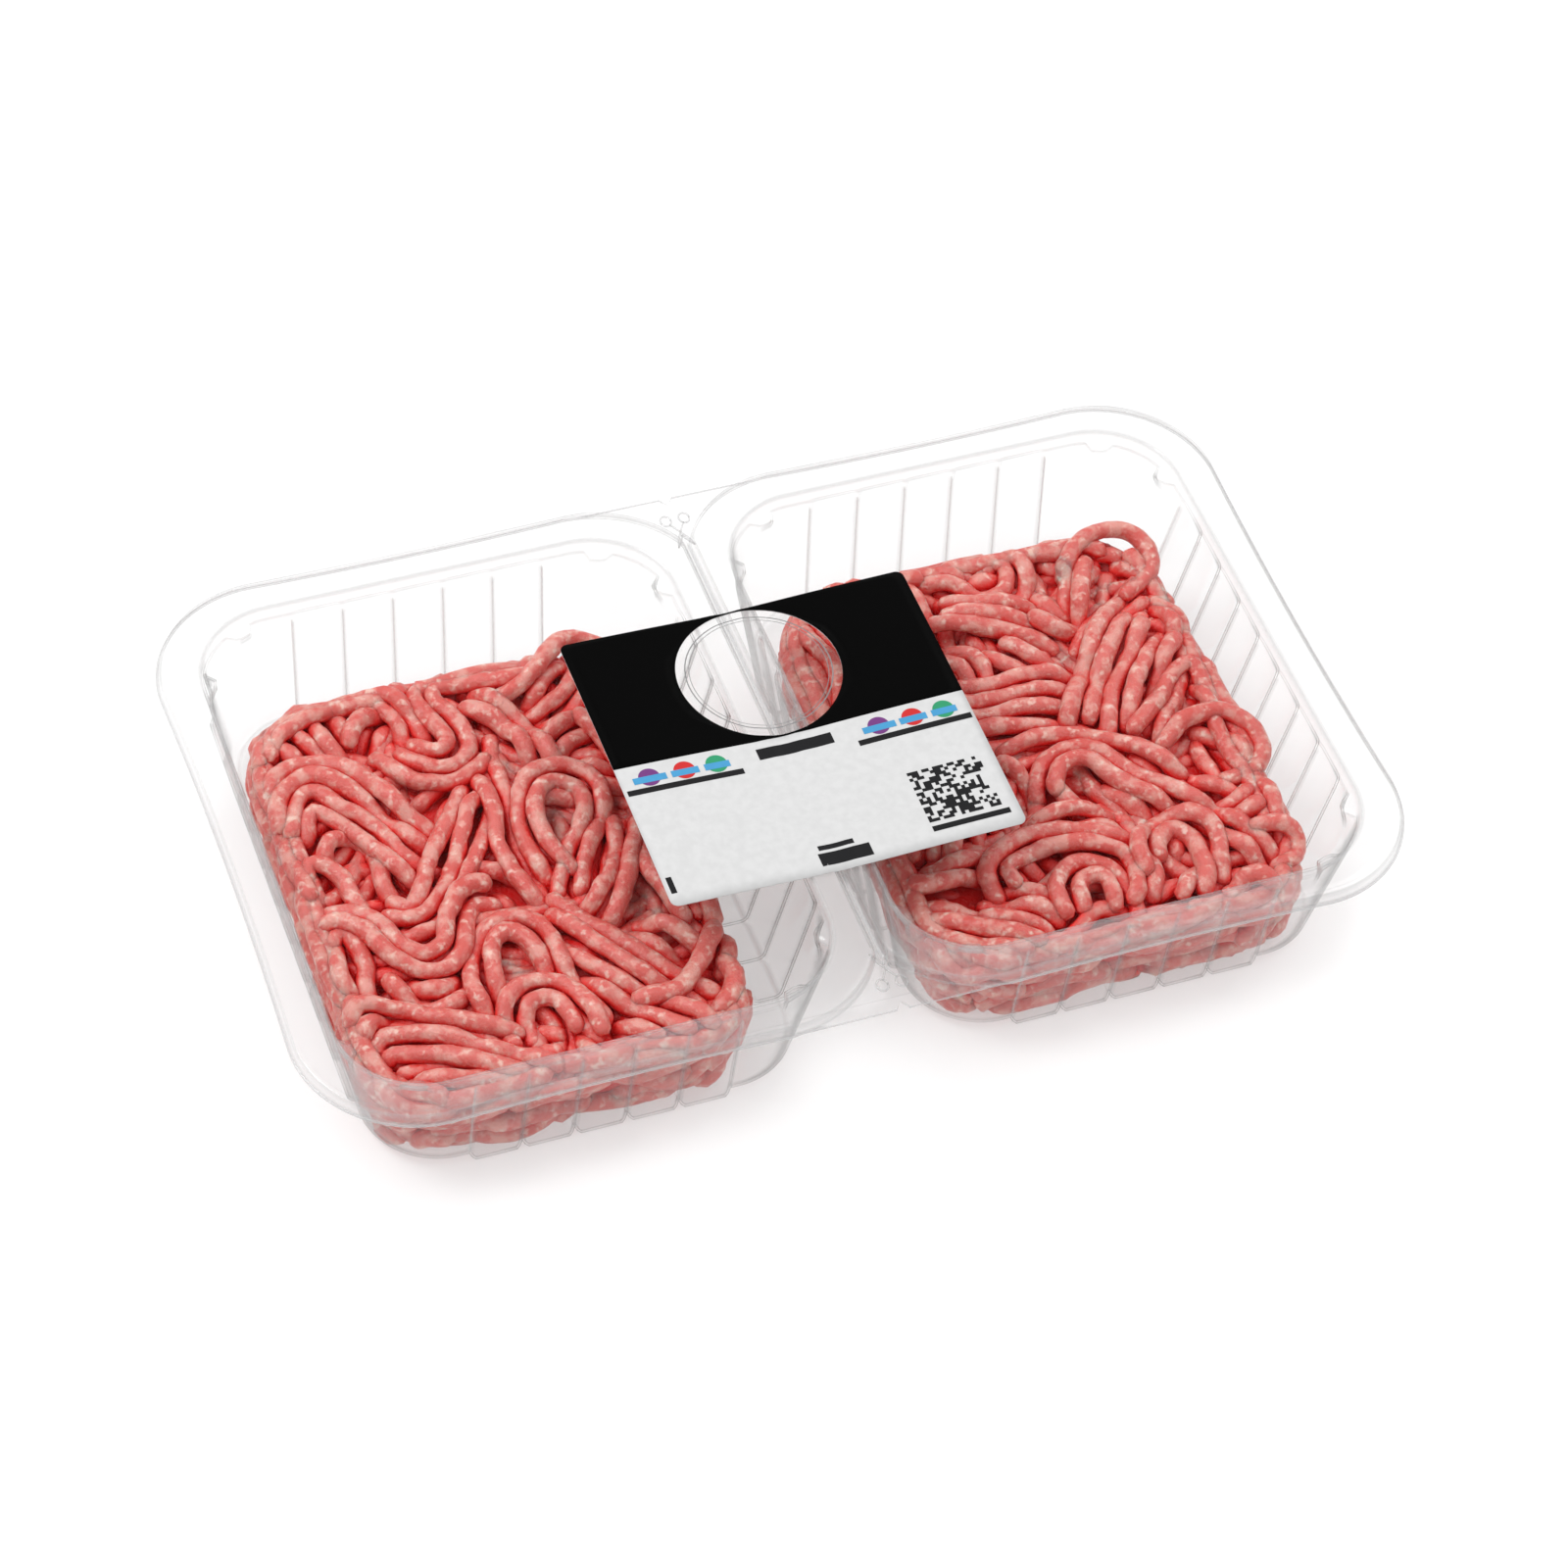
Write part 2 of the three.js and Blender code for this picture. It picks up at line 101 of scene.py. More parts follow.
# Mince, with its colours in linear light
LEAN = (0.57, 0.138, 0.118)
LEAN_DEEP = (0.52, 0.078, 0.064)
FAT_THIN = (0.62, 0.32, 0.27)
FAT = (0.71, 0.56, 0.48)
# Painted shade: the deep reds laid between the strands and where they lie low
PAINTED_CREVICE_SHADE = (0.76, 0.009, 0.007)
PAINTED_DEEP_SHADE = (0.58, 0.005, 0.004)
STRAND_RADIUS = 2.6
STRAND_SIDES = 12
STRAND_STEP = 2.0
RING_STEP = 1.4
STRAND_SPACING = 5.3
FLOOR_GAP = 0.05
SIDE_LEVELS = (7.0, 12.5, 18.0, 23.5, 29.0)
FILL_LAYERS = ((34, -0.8), (26, -4.0), (26, -8.0))
PATCH_TRIES = 150
DEEPEST_TOP, DEEPEST_SIDE = -14.0, -8.0
END_DIVE = 2.6
UNDER_TOP, UNDER_SIDE = -9.6, -4.4
CORE_ROWS = 24


def mesh_object(name, points, faces, material, smooth=True):
    """A mesh in the frame, from points in millimetres."""
    mesh = bpy.data.meshes.new(name)
    mesh.from_pydata((np.asarray(points, float) * MM).tolist(), [], [tuple(map(int, f)) for f in faces])
    mesh.materials.append(material)
    mesh.polygons.foreach_set("use_smooth", [smooth] * len(mesh.polygons))
    mesh.update()
    made = bpy.data.objects.new(name, mesh)
    bpy.context.scene.collection.objects.link(made)
    return made


def set_attribute(piece, name, values):
    attribute = piece.data.attributes.new(name, "FLOAT", "POINT")
    attribute.data.foreach_set("value", np.asarray(values, np.float32))


def add_to_pack(piece, slot, *nodes):
    """The piece rides on the pack and stands for CAD nodes, which are hidden. The slot argument is not used.
    """
    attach(piece, "root")
    if nodes:
        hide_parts(*nodes)


def apply_modifier(piece, kind, **settings):
    modifier = piece.modifiers.new(kind.lower(), kind)
    for key, value in settings.items():
        setattr(modifier, key, value)
    with bpy.context.temp_override(object=piece, active_object=piece, selected_objects=[piece]):
        bpy.ops.object.modifier_apply(modifier=modifier.name)


def strip_faces(rows, columns, first=0, closed=True):
    """Quads between rows of equally many points."""
    faces = []
    for row in range(rows - 1):
        for i in range(columns if closed else columns - 1):
            a = first + row * columns + i
            b = first + row * columns + (i + 1) % columns
            faces.append((a, a + columns, b + columns, b))
    return faces


def tube_faces(rings, first, sides=STRAND_SIDES):
    """The skin and both ends of a strand."""
    last = first + (rings - 1) * sides
    ends = [tuple(range(first, first + sides)), tuple(range(last + sides - 1, last - 1, -1))]
    return strip_faces(rings, sides, first) + ends


def unit(vectors, least=1e-9):
    return vectors / np.maximum(np.linalg.norm(vectors, axis=1), least)[:, None]


# Materials

def add_node(tree, kind, inputs=(), **settings):
    made = tree.nodes.new("ShaderNode" + kind)
    for key, value in settings.items():
        setattr(made, key, value)
    for key, value in dict(inputs).items():
        if isinstance(value, bpy.types.NodeSocket):
            tree.links.new(value, made.inputs[key])
        else:
            made.inputs[key].default_value = value
    return made


def new_material(name):
    material = bpy.data.materials.new(name)
    material.use_nodes = True
    material.node_tree.nodes.clear()
    return material, material.node_tree


def set_surface(tree, shader):
    output = tree.nodes.new("ShaderNodeOutputMaterial")
    tree.links.new(shader.outputs[0], output.inputs["Surface"])


def object_place(tree):
    return add_node(tree, "TexCoord").outputs["Object"]


def object_noise(tree, scale, detail=2.0):
    place = object_place(tree)
    return add_node(tree, "TexNoise", {"Vector": place, "Scale": scale, "Detail": detail}).outputs[0]


def mixed(tree, share, first, second):
    return add_node(tree, "Mix", {"Factor": share, 6: first, 7: second}, data_type="RGBA").outputs[2]


def ramp(tree, fac, stops):
    made = add_node(tree, "ValToRGB", {"Fac": fac})
    elements = made.color_ramp.elements
    while len(elements) < len(stops):
        elements.new(0.5)
    for element, (place, colour) in zip(elements, stops):
        element.position = place
        element.color = (*colour, 1) if len(colour) == 3 else colour
    return made.outputs[0]


def grey(value):
    return (value, value, value)


def clear_material(name, tint, grazing_shade_tint, wall_haze, rim_haze, head_on, grazing):
    """A clear sheet: see-through, with a painted shade that greys it where seen edge on and along the lines
    of the edge attribute, a painted highlight of milky veil on those lines, milkier towards the rim, glossy.
    """
    material, tree = new_material(name)
    facing = add_node(tree, "LayerWeight", {"Blend": 0.5}).outputs["Facing"]
    # painted shade: greyer where the sheet is seen edge on
    tone = ramp(tree, facing, [(0.0, grey(tint)), (0.68, grey(tint)), (0.97, grey(grazing_shade_tint))])
    # painted shade lines where the edge attribute says
    edge = add_node(tree, "Attribute", attribute_name="edge").outputs["Fac"]
    dark = mixed(tree, edge, tone, (*grey(PAINTED_LINE_SHADE * tint), 1))
    through = add_node(tree, "BsdfTransparent", {"Color": dark})
    ripple = ramp(tree, object_noise(tree, 90.0, 0.0), [(0.3, grey(0.05)), (0.7, grey(0.13))])
    milky = add_node(tree, "BsdfDiffuse", {"Color": (*grey(0.74), 1)})
    height = add_node(tree, "SeparateXYZ", {"Vector": object_place(tree)}).outputs["Z"]
    haze = add_node(tree, "MapRange", {
        "Value": height, "From Min": HAZE_HEIGHTS[0], "From Max": HAZE_HEIGHTS[1],
        "To Min": wall_haze, "To Max": rim_haze,
    }).outputs[0]
    # painted highlight: a milky veil along the same lines
    hazy = add_node(tree, "Math", {0: edge, 1: PAINTED_LINE_HIGHLIGHT, 2: haze}, operation="MULTIPLY_ADD").outputs[0]
    body = add_node(tree, "MixShader", {0: hazy, 1: through.outputs[0], 2: milky.outputs[0]})
    shine = add_node(tree, "BsdfGlossy", {"Color": (*grey(0.95), 1), "Roughness": ripple})
    tilt = add_node(tree, "Math", {0: facing, 1: 5.0}, operation="POWER").outputs[0]
    share = add_node(tree, "MapRange", {"Value": tilt, "To Min": head_on, "To Max": grazing}).outputs[0]
    set_surface(tree, add_node(tree, "MixShader", {0: share, 1: body.outputs[0], 2: shine.outputs[0]}))
    return material


def mince_material(name):
    """Moist raw mince: pink strands with pale flecks of fat, turned deep red by a painted shade between the
    strands and where they lie low, and where they press on a wall.
    """
    material, tree = new_material(name)
    flesh = ramp(tree, object_noise(tree, 45.0, 3.0), [(0.3, LEAN_DEEP), (0.7, LEAN)])
    mottle = ramp(tree, object_noise(tree, 230.0, 3.0), [(0.46, grey(0)), (0.62, grey(0.75))])
    marbled = mixed(tree, mottle, flesh, (*FAT_THIN, 1))
    flecks = ramp(tree, object_noise(tree, 400.0, 3.0), [(0.56, grey(0)), (0.72, grey(0.7))])
    pale = mixed(tree, flecks, marbled, (*FAT, 1))
    # painted shade: how much deep red is laid over the flesh, and which red
    painted_shade_and_press = add_node(tree, "Attribute", attribute_name="painted_shade_and_press").outputs["Fac"]
    low = ramp(tree, painted_shade_and_press, [(0.12, grey(0)), (0.9, grey(1))])
    shade = ramp(tree, painted_shade_and_press, [(0.6, PAINTED_CREVICE_SHADE), (1.0, PAINTED_DEEP_SHADE)])
    grain = object_noise(tree, 1100.0, 3.0)
    bump = add_node(tree, "Bump", {"Height": grain, "Strength": 0.7, "Distance": 0.0005}).outputs[0]
    body = add_node(tree, "BsdfPrincipled", {
        "Base Color": mixed(tree, low, pale, shade),
        "Roughness": ramp(tree, grain, [(0.3, grey(0.25)), (0.7, grey(0.46))]),
        "Normal": bump,
    })
    body.inputs["Subsurface Weight"].default_value = 0.5
    body.inputs["Subsurface Radius"].default_value = (1.0, 0.22, 0.16)
    body.inputs["Subsurface Scale"].default_value = 0.0045
    body.inputs["Specular IOR Level"].default_value = 0.38
    set_surface(tree, body)
    return material


def ink_material(name, colour, specular=0.25):
    """Printed paper: a faint mottle of the ink and of its gloss."""
    material, tree = new_material(name)
    mottle = object_noise(tree, 400.0)
    low = tuple(c * 0.94 for c in colour)
    body = add_node(tree, "BsdfPrincipled", {
        "Base Color": ramp(tree, mottle, [(0.35, low), (0.65, colour)]),
        "Roughness": ramp(tree, mottle, [(0.35, grey(0.42)), (0.65, grey(0.5))]),
    })
    body.inputs["Specular IOR Level"].default_value = specular
    set_surface(tree, body)
    return material


def floor_material():
    material, tree = new_material("pale_floor")
    tone = ramp(tree, object_noise(tree, 3.0), [(0.3, grey(0.5)), (0.7, grey(0.51))])
    pale = add_node(tree, "BsdfDiffuse", {"Color": tone})
    glow = add_node(tree, "Emission", {"Color": (1, 1, 1, 1), "Strength": 0.45})
    set_surface(tree, add_node(tree, "AddShader", {0: pale.outputs[0], 1: glow.outputs[0]}))
    return material


# Tray: one moulded sheet per cell, from the middle of its floor out to its flange

def rib_stops(count, pitch):
    """Places along a straight side, each with its share of the panels' bulge and of the painted shade line
    along a rib.
    """
    middles = [(i - (count + 1) / 2) * pitch for i in range(count + 2)]
    near = [(-1.0, 1.0, 0.0), (-0.62, 0.72, 0.0), (-0.26, 0.15, 0.3), (0.0, 0.0, 1.0),
            (0.26, 0.15, 0.3), (0.62, 0.72, 0.0), (1.0, 1.0, 0.0)]
    stops = []
    for i, middle in enumerate(middles):
        for share, panel, line in near:
            beyond = (i == 0 and share < 0) or (i == count + 1 and share > 0)
            if not beyond:
                stops.append((middle + share * RIB_HALF_WIDTH, panel, line))
            elif abs(share) < 0.3:
                stops.append((middle + share * RIB_HALF_WIDTH, 0.0, 0.0))
        if i < count + 1:
            stops.append((middle + pitch / 2, 1.0, 0.0))
    return stops


def lug_share(side, turn):
    """How much of a stacking lug stands at a place in the corner after a side."""
    angle = math.degrees(turn) if side % 2 == 0 else 90 - math.degrees(turn)
    nearest = min(abs(angle - lug) for lug in LUG_TURNS)
    return max(0.0, min(1.0, (LUG_HALF_TURN - nearest) / 3.0))


def cell_stops():
    """Stops round a cell: side, place along it, turn in the corner, and shares of panel, lug and painted rib
    shade line.
    """
    stops = []
    for side in range(4):
        ribs = RIBS_ALONG if side % 2 == 0 else RIBS_ACROSS
        stops += [(side, along, None, panel, 0.0, line) for along, panel, line in rib_stops(*ribs)]
        turns = np.linspace(0, math.pi / 2, CORNER_STEPS + 1)
        stops += [(side, None, turn, 0.0, lug_share(side, turn), 0.0) for turn in turns]
    return stops


def place_stop(stop, half, radius, inset, z):
    side, along, turn = stop[:3]
    reach, across = (half[0], half[1]) if side % 2 == 0 else (half[1], half[0])
    straight = across - radius
    out = reach - inset
    if turn is not None:
        out = reach - radius + (radius - inset) * math.cos(turn)
        along = straight + (radius - inset) * math.sin(turn)
    c, s = [(1, 0), (0, 1), (-1, 0), (0, -1)][side]
    return (c * out - s * along, s * out + c * along, z)


def wall_ring(stops, inset, z, panel=0.0, lug=0.0, foot=0.0, inward=0.0):
    """A ring of the cell's inside, inset from its opening."""
    half = (OPENING_HALF[0] - inset[0], OPENING_HALF[1] - inset[1])
    on_wall = (inset[0] + inset[1]) / 2 - inward
    radius = OPENING_RADIUS - CORNER_EASE * on_wall - inward
    ring = []
    for stop in stops:
        bulge = stop[3] * panel * PANEL_BULGE
        rise = stop[4] * lug * LUG_RISE
        ring.append(place_stop(stop, half, radius, rise - bulge, z - stop[3] * foot * FOOT_DROP))
    return ring


def wall_inset(depth):
    return tuple(BAND_INSET + (depth - BAND_DEPTH) * taper for taper in TAPER)


def rim_ring(stops, grow, z, groove_half):
    """A ring of the rim or its skirt. Its inner side stops at the groove in the middle."""
    half = (RIM_HALF[0] + grow, RIM_HALF[1] + grow)
    radius = RIM_RADIUS + grow
    ring = []
    for stop in stops:
        side, along = stop[0], stop[1]
        bow = 0.0
        if along is not None:
            straight = (half[1] if side % 2 == 0 else half[0]) - radius
            bow = (RIM_BOW[0] if side % 2 == 0 else RIM_BOW[1]) * (1 - min(1, abs(along) / straight) ** 2)
        x, y, z_out = place_stop(stop, half, radius, bow, z)
        ring.append((max(x, groove_half - CELL_MIDDLE), y, z_out))
    return ring


def web_ring(stops, skirt_ring, z):
    """The sheet's outer edge: a narrow flange, and towards the other cell the edge of the web."""
    centre_x = BRIDGE_HALF[0] - CELL_MIDDLE
    centre_y = RIM_HALF[1] - RIM_RADIUS
    ring = []
    for stop, flange, (x, y, _) in zip(stops, rim_ring(stops, FLANGE_GROW, z, 0.0), skirt_ring):
        reach_x = -CELL_MIDDLE
        if x >= centre_x:
            ring.append(flange)
        elif abs(y) <= centre_y:
            ring.append((reach_x, y, z))
        else:
            sign = math.copysign(1, y)
            dx, dy = x - centre_x, abs(y) - centre_y
            shares = [(reach_x - centre_x) / dx] if dx < 0 else []
            if dy > 0:
                shares.append((BRIDGE_HALF[1] - centre_y) / dy)
            share = min(shares)
            ring.append((centre_x + dx * share, sign * (centre_y + dy * share), z))
    return ring


def cell_rings():
    """Rings from the floor's middle out to the flange, and how much painted shade line each point gets at
    ribs, bends and edges.
    """
    stops = cell_stops()
    end = wall_inset(RIM_HEIGHT - WALL_END)
    rings, edges = [], []
    for distance, z, panel, foot in [
        (9.5, FLOOR_TOP, 0.0, 0.0), (7.4, FLOOR_TOP, 0.0, 0.0), (6.9, FLOOR_TOP, 0.1, 0.12),
        (6.2, FLOOR_TOP, 0.2, 0.85), (5.6, FLOOR_TOP, 0.25, 1.0), (1.9, FLOOR_TOP, 0.9, 1.0),
        (1.1, FLOOR_TOP + 0.1, 0.95, 0.9), (0.35, FLOOR_TOP + 0.35, 1.0, 0.5),
    ]:
        inset = (end[0] + distance, end[1] + distance)
        rings.append(wall_ring(stops, inset, z, panel, 0.0, foot, distance))
        edges.append(np.full(len(stops), 0.3 if foot == 0.9 else 0.0))
    # painted shade lines along the ribs, half as strong on the third side
    rib_shade_lines = np.array([stop[5] * (0.5 if stop[0] == 2 else 1.0) for stop in stops])
    for depth, panel, lug in [
        (40.2, 1.0, 0.0), (36.0, 1.0, 0.0), (28.0, 1.0, 0.0), (20.0, 1.0, 0.0), (13.0, 1.0, 0.0),
        (10.5, 1.0, 0.15), (8.0, 1.0, 0.45), (6.6, 0.9, 0.75), (5.4, 0.45, 0.95), (4.7, 0.12, 1.0),
        (4.2, 0.0, 0.9), (3.8, 0.0, 0.25), (3.5, 0.0, 0.0),
    ]:
        rings.append(wall_ring(stops, wall_inset(depth), RIM_HEIGHT - depth, panel, lug))
        edges.append(rib_shade_lines if panel == 1.0 else np.full(len(stops), 0.5 if panel == 0.12 else 0.0))
    for inset, depth, edge in [(1.5, 1.5, 0.0), (1.3, 0.8, 0.5), (0.8, 0.3, 0.6), (0.0, 0.0, 0.0)]:
        rings.append(wall_ring(stops, (inset, inset), RIM_HEIGHT - depth))
        edges.append(np.full(len(stops), edge))
    for grow, depth, groove, edge in [
        (-3.0, 0.0, 4.4, 0.0), (-0.4, 0.0, 1.9, 0.0), (0.0, 0.1, 1.6, 0.3), (0.3, 0.35, 1.45, 0.5),
        (0.5, 0.8, 1.35, 0.3), (0.8, 2.4, 1.0, 0.0), (0.95, 2.85, 0.85, 0.5),
    ]:
        rings.append(rim_ring(stops, grow, RIM_HEIGHT - depth, groove))
        edges.append(np.full(len(stops), edge))
    flange = web_ring(stops, rings[-1], RIM_HEIGHT - SKIRT_DROP)
    inner, outer = np.array(rings[-1]), np.array(flange)
    width = np.linalg.norm(outer - inner, axis=1)[:, None]
    near = np.minimum(EDGE_LINE / width, 0.35)
    for share in (near, 1 - near):
        between = inner + (outer - inner) * share
        between[:, 2] = RIM_HEIGHT - SKIRT_DROP
        rings.append([tuple(point) for point in between])
        edges.append(np.where(width[:, 0] < 1.0, 1.0, 0.0))
    rings.append(flange)
    edges.append(np.array([0.0 if abs(x + CELL_MIDDLE) < 0.01 else 1.0 for x, _, _ in flange]))
    return rings, np.concatenate(edges)


def make_tray(material):
    rings, edges = cell_rings()
    columns = len(rings[0])
    points = [point for ring in rings for point in ring] + [(0.0, 0.0, FLOOR_TOP)]
    faces = strip_faces(len(rings), columns)
    middle = len(points) - 1
    faces += [(i, (i + 1) % columns, middle) for i in range(columns)]
    cell = np.array(points)
    right = cell + (CELL_MIDDLE, 0, 0)
    left = cell * (-1, 1, 1) - (CELL_MIDDLE, 0, 0)
    flipped = [tuple(reversed([i + len(cell) for i in face])) for face in faces]
    tray = mesh_object("clear_tray", np.vstack([right, left]), faces + flipped, material)
    # painted shade lines of the tray, as the edge attribute
    set_attribute(tray, "edge", np.tile(np.append(edges, 0.0), 2))
    apply_modifier(tray, "WELD", merge_threshold=0.00002)
    apply_modifier(tray, "SOLIDIFY", thickness=SHEET * MM, offset=-1.0)
    add_to_pack(tray, "clear_plastic", "tray")


def scissors_lines():
    """A pair of open scissors: two finger loops and two crossed blades, points up along +Y."""
    lines = []
    for side in (-1, 1):
        turns = np.linspace(0, 2 * math.pi, 19)
        lines.append([(side * 2.7 + 1.5 * math.cos(t), -4.4 + 1.9 * math.sin(t)) for t in turns])
        blade = [(2.0, -2.8), (0.9, -1.0), (0.0, 0.6), (-1.6, 3.6), (-2.4, 6.2)]
        lines.append([(side * x, y) for x, y in blade])
        lines.append([(-side * 2.4, 6.2), (-side * 0.9, 3.9), (0.0, 1.9)])
    return lines


def make_scissors(material):
    """The fine raised marks on the web that show where to cut the two cells apart."""
    points, faces = [], []
    for end in (-1, 1):
        for line in scissors_lines():
            z = RIM_HEIGHT - SKIRT_DROP + 0.1
            centres = curve_through([(x, end * (SCISSORS_PLACE - y), z) for x, y in line], 0.5)
            rings = strand_rings(centres, np.full(len(centres), SCISSORS_RADIUS))
            faces += tube_faces(len(rings), len(points) * STRAND_SIDES)
            points += list(rings)
    marks = mesh_object("web_scissors_marks", np.vstack(points), faces, material)
    # painted shade: the marks show as grey lines
    set_attribute(marks, "edge", np.full(len(points) * STRAND_SIDES, 0.6))
    add_to_pack(marks, "clear_plastic")


# Film and label

def film_lift(x, y):
    """How far the gas lifts the film above the rim, or how far it sags into the middle groove."""
    u = (abs(x) - CELL_MIDDLE) / OPENING_HALF[0]
    v = y / OPENING_HALF[1]
    sag = FILM_SAG * max(0.0, 1 - (x / FILM_SAG_HALF) ** 2)
    return DOME_RISE * max(0.0, 1 - u * u) * max(0.0, 1 - v * v) - sag


def rounded_outline(half, radius, steps, across):
    """A rounded rectangle, counterclockwise, with points along its sides too."""
    points = []
    for side in range(4):
        straight = (half[1] if side % 2 == 0 else half[0]) - radius
        stops = [(side, along, None) for along in np.linspace(-straight, straight, across)[:-1]]
        stops += [(side, None, turn) for turn in np.linspace(0, math.pi / 2, steps + 1)[:-1]]
        points += [place_stop(stop, half, radius, 0.0, 0.0)[:2] for stop in stops]
    return np.array(points)


def lifted_sheet(name, inner, outer, rows, bottom, thickness, material, closed_middle=False):
    """A sheet between two outlines that follows the film's lift, with a thickness."""
    points = []
    for share in np.linspace(0, 1, rows):
        for x, y in inner + (outer - inner) * share:
            points.append((x, y, bottom + thickness + film_lift(x, y)))
    sheet = mesh_object(name, points, strip_faces(rows, len(outer)), material)
    if closed_middle:
        apply_modifier(sheet, "WELD", merge_threshold=0.00001)
    apply_modifier(sheet, "SOLIDIFY", thickness=thickness * MM, offset=-1.0)
    return sheet


def make_film(material):
    outline = rounded_outline(FILM_HALF, FILM_RADIUS, 16, 40)
    film = lifted_sheet("clear_film", outline * 0, outline, 60, FILM_BOTTOM, FILM_THICKNESS, material, True)
    add_to_pack(film, "clear_film", "lid_film")


def box_outline(box, front_radius, rear_radius):
    """The edge of a box with rounded corners, counterclockwise, in even steps along its sides."""
    corners = []
    for i, j, start in [(1, 2, -90), (1, 3, 0), (0, 3, 90), (0, 2, 180)]:
        radius = front_radius if j == 2 else rear_radius
        x = box[i] + (radius if i == 0 else -radius)
        y = box[j] + (radius if j == 2 else -radius)
        for turn in np.radians(start + np.linspace(0, 90, 7)):
            corners.append((x + radius * math.cos(turn), y + radius * math.sin(turn)))
    points = []
    for (x0, y0), (x1, y1) in zip(corners, corners[1:] + corners[:1]):
        length = math.hypot(x1 - x0, y1 - y0)
        if length > 1e-6:
            for share in np.linspace(0, 1, max(2, int(length / 2.0)), endpoint=False):
                points.append((x0 + (x1 - x0) * share, y0 + (y1 - y0) * share))
    return np.array(points)


def window_outlines(box, front_radius, rear_radius):
    """The window's circle and the edge of a box round it, point for point."""
    edge = box_outline(box, front_radius, rear_radius)
    return unit(edge - WINDOW[:2]) * WINDOW[2] + WINDOW[:2], edge


def bar(x0, x1, y0, y1):
    """Two opposite outlines of a printed bar."""
    xs = np.linspace(x0, x1, 2 + int((x1 - x0) / 2.5))
    return np.array([(x, y0) for x in xs]), np.array([(x, y1) for x in xs])


def ink_points(points):
    top = LABEL_BOTTOM + LABEL_THICKNESS + INK_RISE
    return [(x, y, top + film_lift(x, y)) for x, y in points]


def printed(shapes):
    """Points and faces of printed bars and rings on the label. A disc is a ring with no hole."""
    points, faces = [], []
    for kind, *size in shapes:
        first = len(points)
        if kind == "bar":
            low, high = bar(*size)
            rows = [high + (low - high) * share for share in np.linspace(0, 1, 4)]
            points += ink_points(np.vstack(rows))
            faces += strip_faces(4, len(low), first, closed=False)
        else:
            x, y, outer, inner = size
            turns = np.linspace(0, 2 * math.pi, DISC_STEPS, endpoint=False)
            for radius in (inner, outer):
                points += ink_points([(x + radius * math.cos(t), y + radius * math.sin(t)) for t in turns])
            faces += strip_faces(2, DISC_STEPS, first)
    return points, faces


def code_bars(x0, x1, y0, y1):
    """A block of short bars at random, which says nothing."""
    random = np.random.default_rng(SEED)
    rows, columns = 17, 20
    width, depth = (x1 - x0) / columns, (y1 - y0) / rows
    bars = []
    for row in range(rows):
        filled = random.random(columns) < 0.5
        for a, b in kept_stretches(filled, 1):
            y = y0 + row * depth
            bars.append(("bar", x0 + a * width, x0 + b * width, y, y + depth))
    return bars


def make_label(materials):
    circle, edge = window_outlines(LABEL_BOX, LABEL_RADIUS, LABEL_RADIUS)
    label = lifted_sheet("label_sheet", circle, edge, 14, LABEL_BOTTOM, LABEL_THICKNESS, materials["paper"])
    add_to_pack(label, "label_face", "label")
    black_box = (LABEL_BOX[0], LABEL_BOX[1], BAND_FRONT, LABEL_BOX[3])
    circle, edge = window_outlines(black_box, 0.0, LABEL_RADIUS)
    bottom = LABEL_BOTTOM + LABEL_THICKNESS
    band = lifted_sheet("label_black_band", circle, edge, 10, bottom, INK_RISE, materials["black"])
    add_to_pack(band, "label_face")
    badges = [(-39.5, "purple", 4.7), (-29.5, "red", 3.9), (-20.4, "green", 3.6),
              (26.2, "purple", 4.7), (36.0, "red", 3.9), (45.0, "green", 3.6)]
    shapes = {
        "dark": [
            ("bar", -8.5, 13.0, -7.7, -3.9), ("bar", -47, -14, -11.2, -9.3), ("bar", 19, 51.6, -11.2, -9.3),
            ("bar", -4.2, 5.8, -42, -40.4), ("bar", -5, 9.5, -47.3, -43), ("bar", 27.3, 49.5, -45.2, -43.4),
            ("bar", -46.8, -45.2, -45.5, -40),
        ],
        "grey": [("ring", *WINDOW[:2], 20.45, 20.1), ("ring", *WINDOW[:2], 19.3, 19.1)],
        "blue": [("bar", x - half, x + half, -7.7, -5.5) for x, _, half in badges],
    }
    shapes["dark"] += code_bars(27.3, 48.0, -42.0, -24.2)
    for x, colour, _ in badges:
        shapes.setdefault(colour, []).append(("ring", x, -6.0, 3.0, 0.0))
    for colour, kinds in shapes.items():
        points, faces = printed(kinds)
        points = np.array(points) + ((0, 0, 0.02) if colour == "blue" else (0, 0, 0))
        ink = mesh_object("label_print_" + colour, points, faces, materials[colour], smooth=False)
        add_to_pack(ink, "label_face")


# Mince: guide lines, each with how many strands lie side by side along it, the last ones on top,
# then hollows between the strands, and loops that stand up from the heap

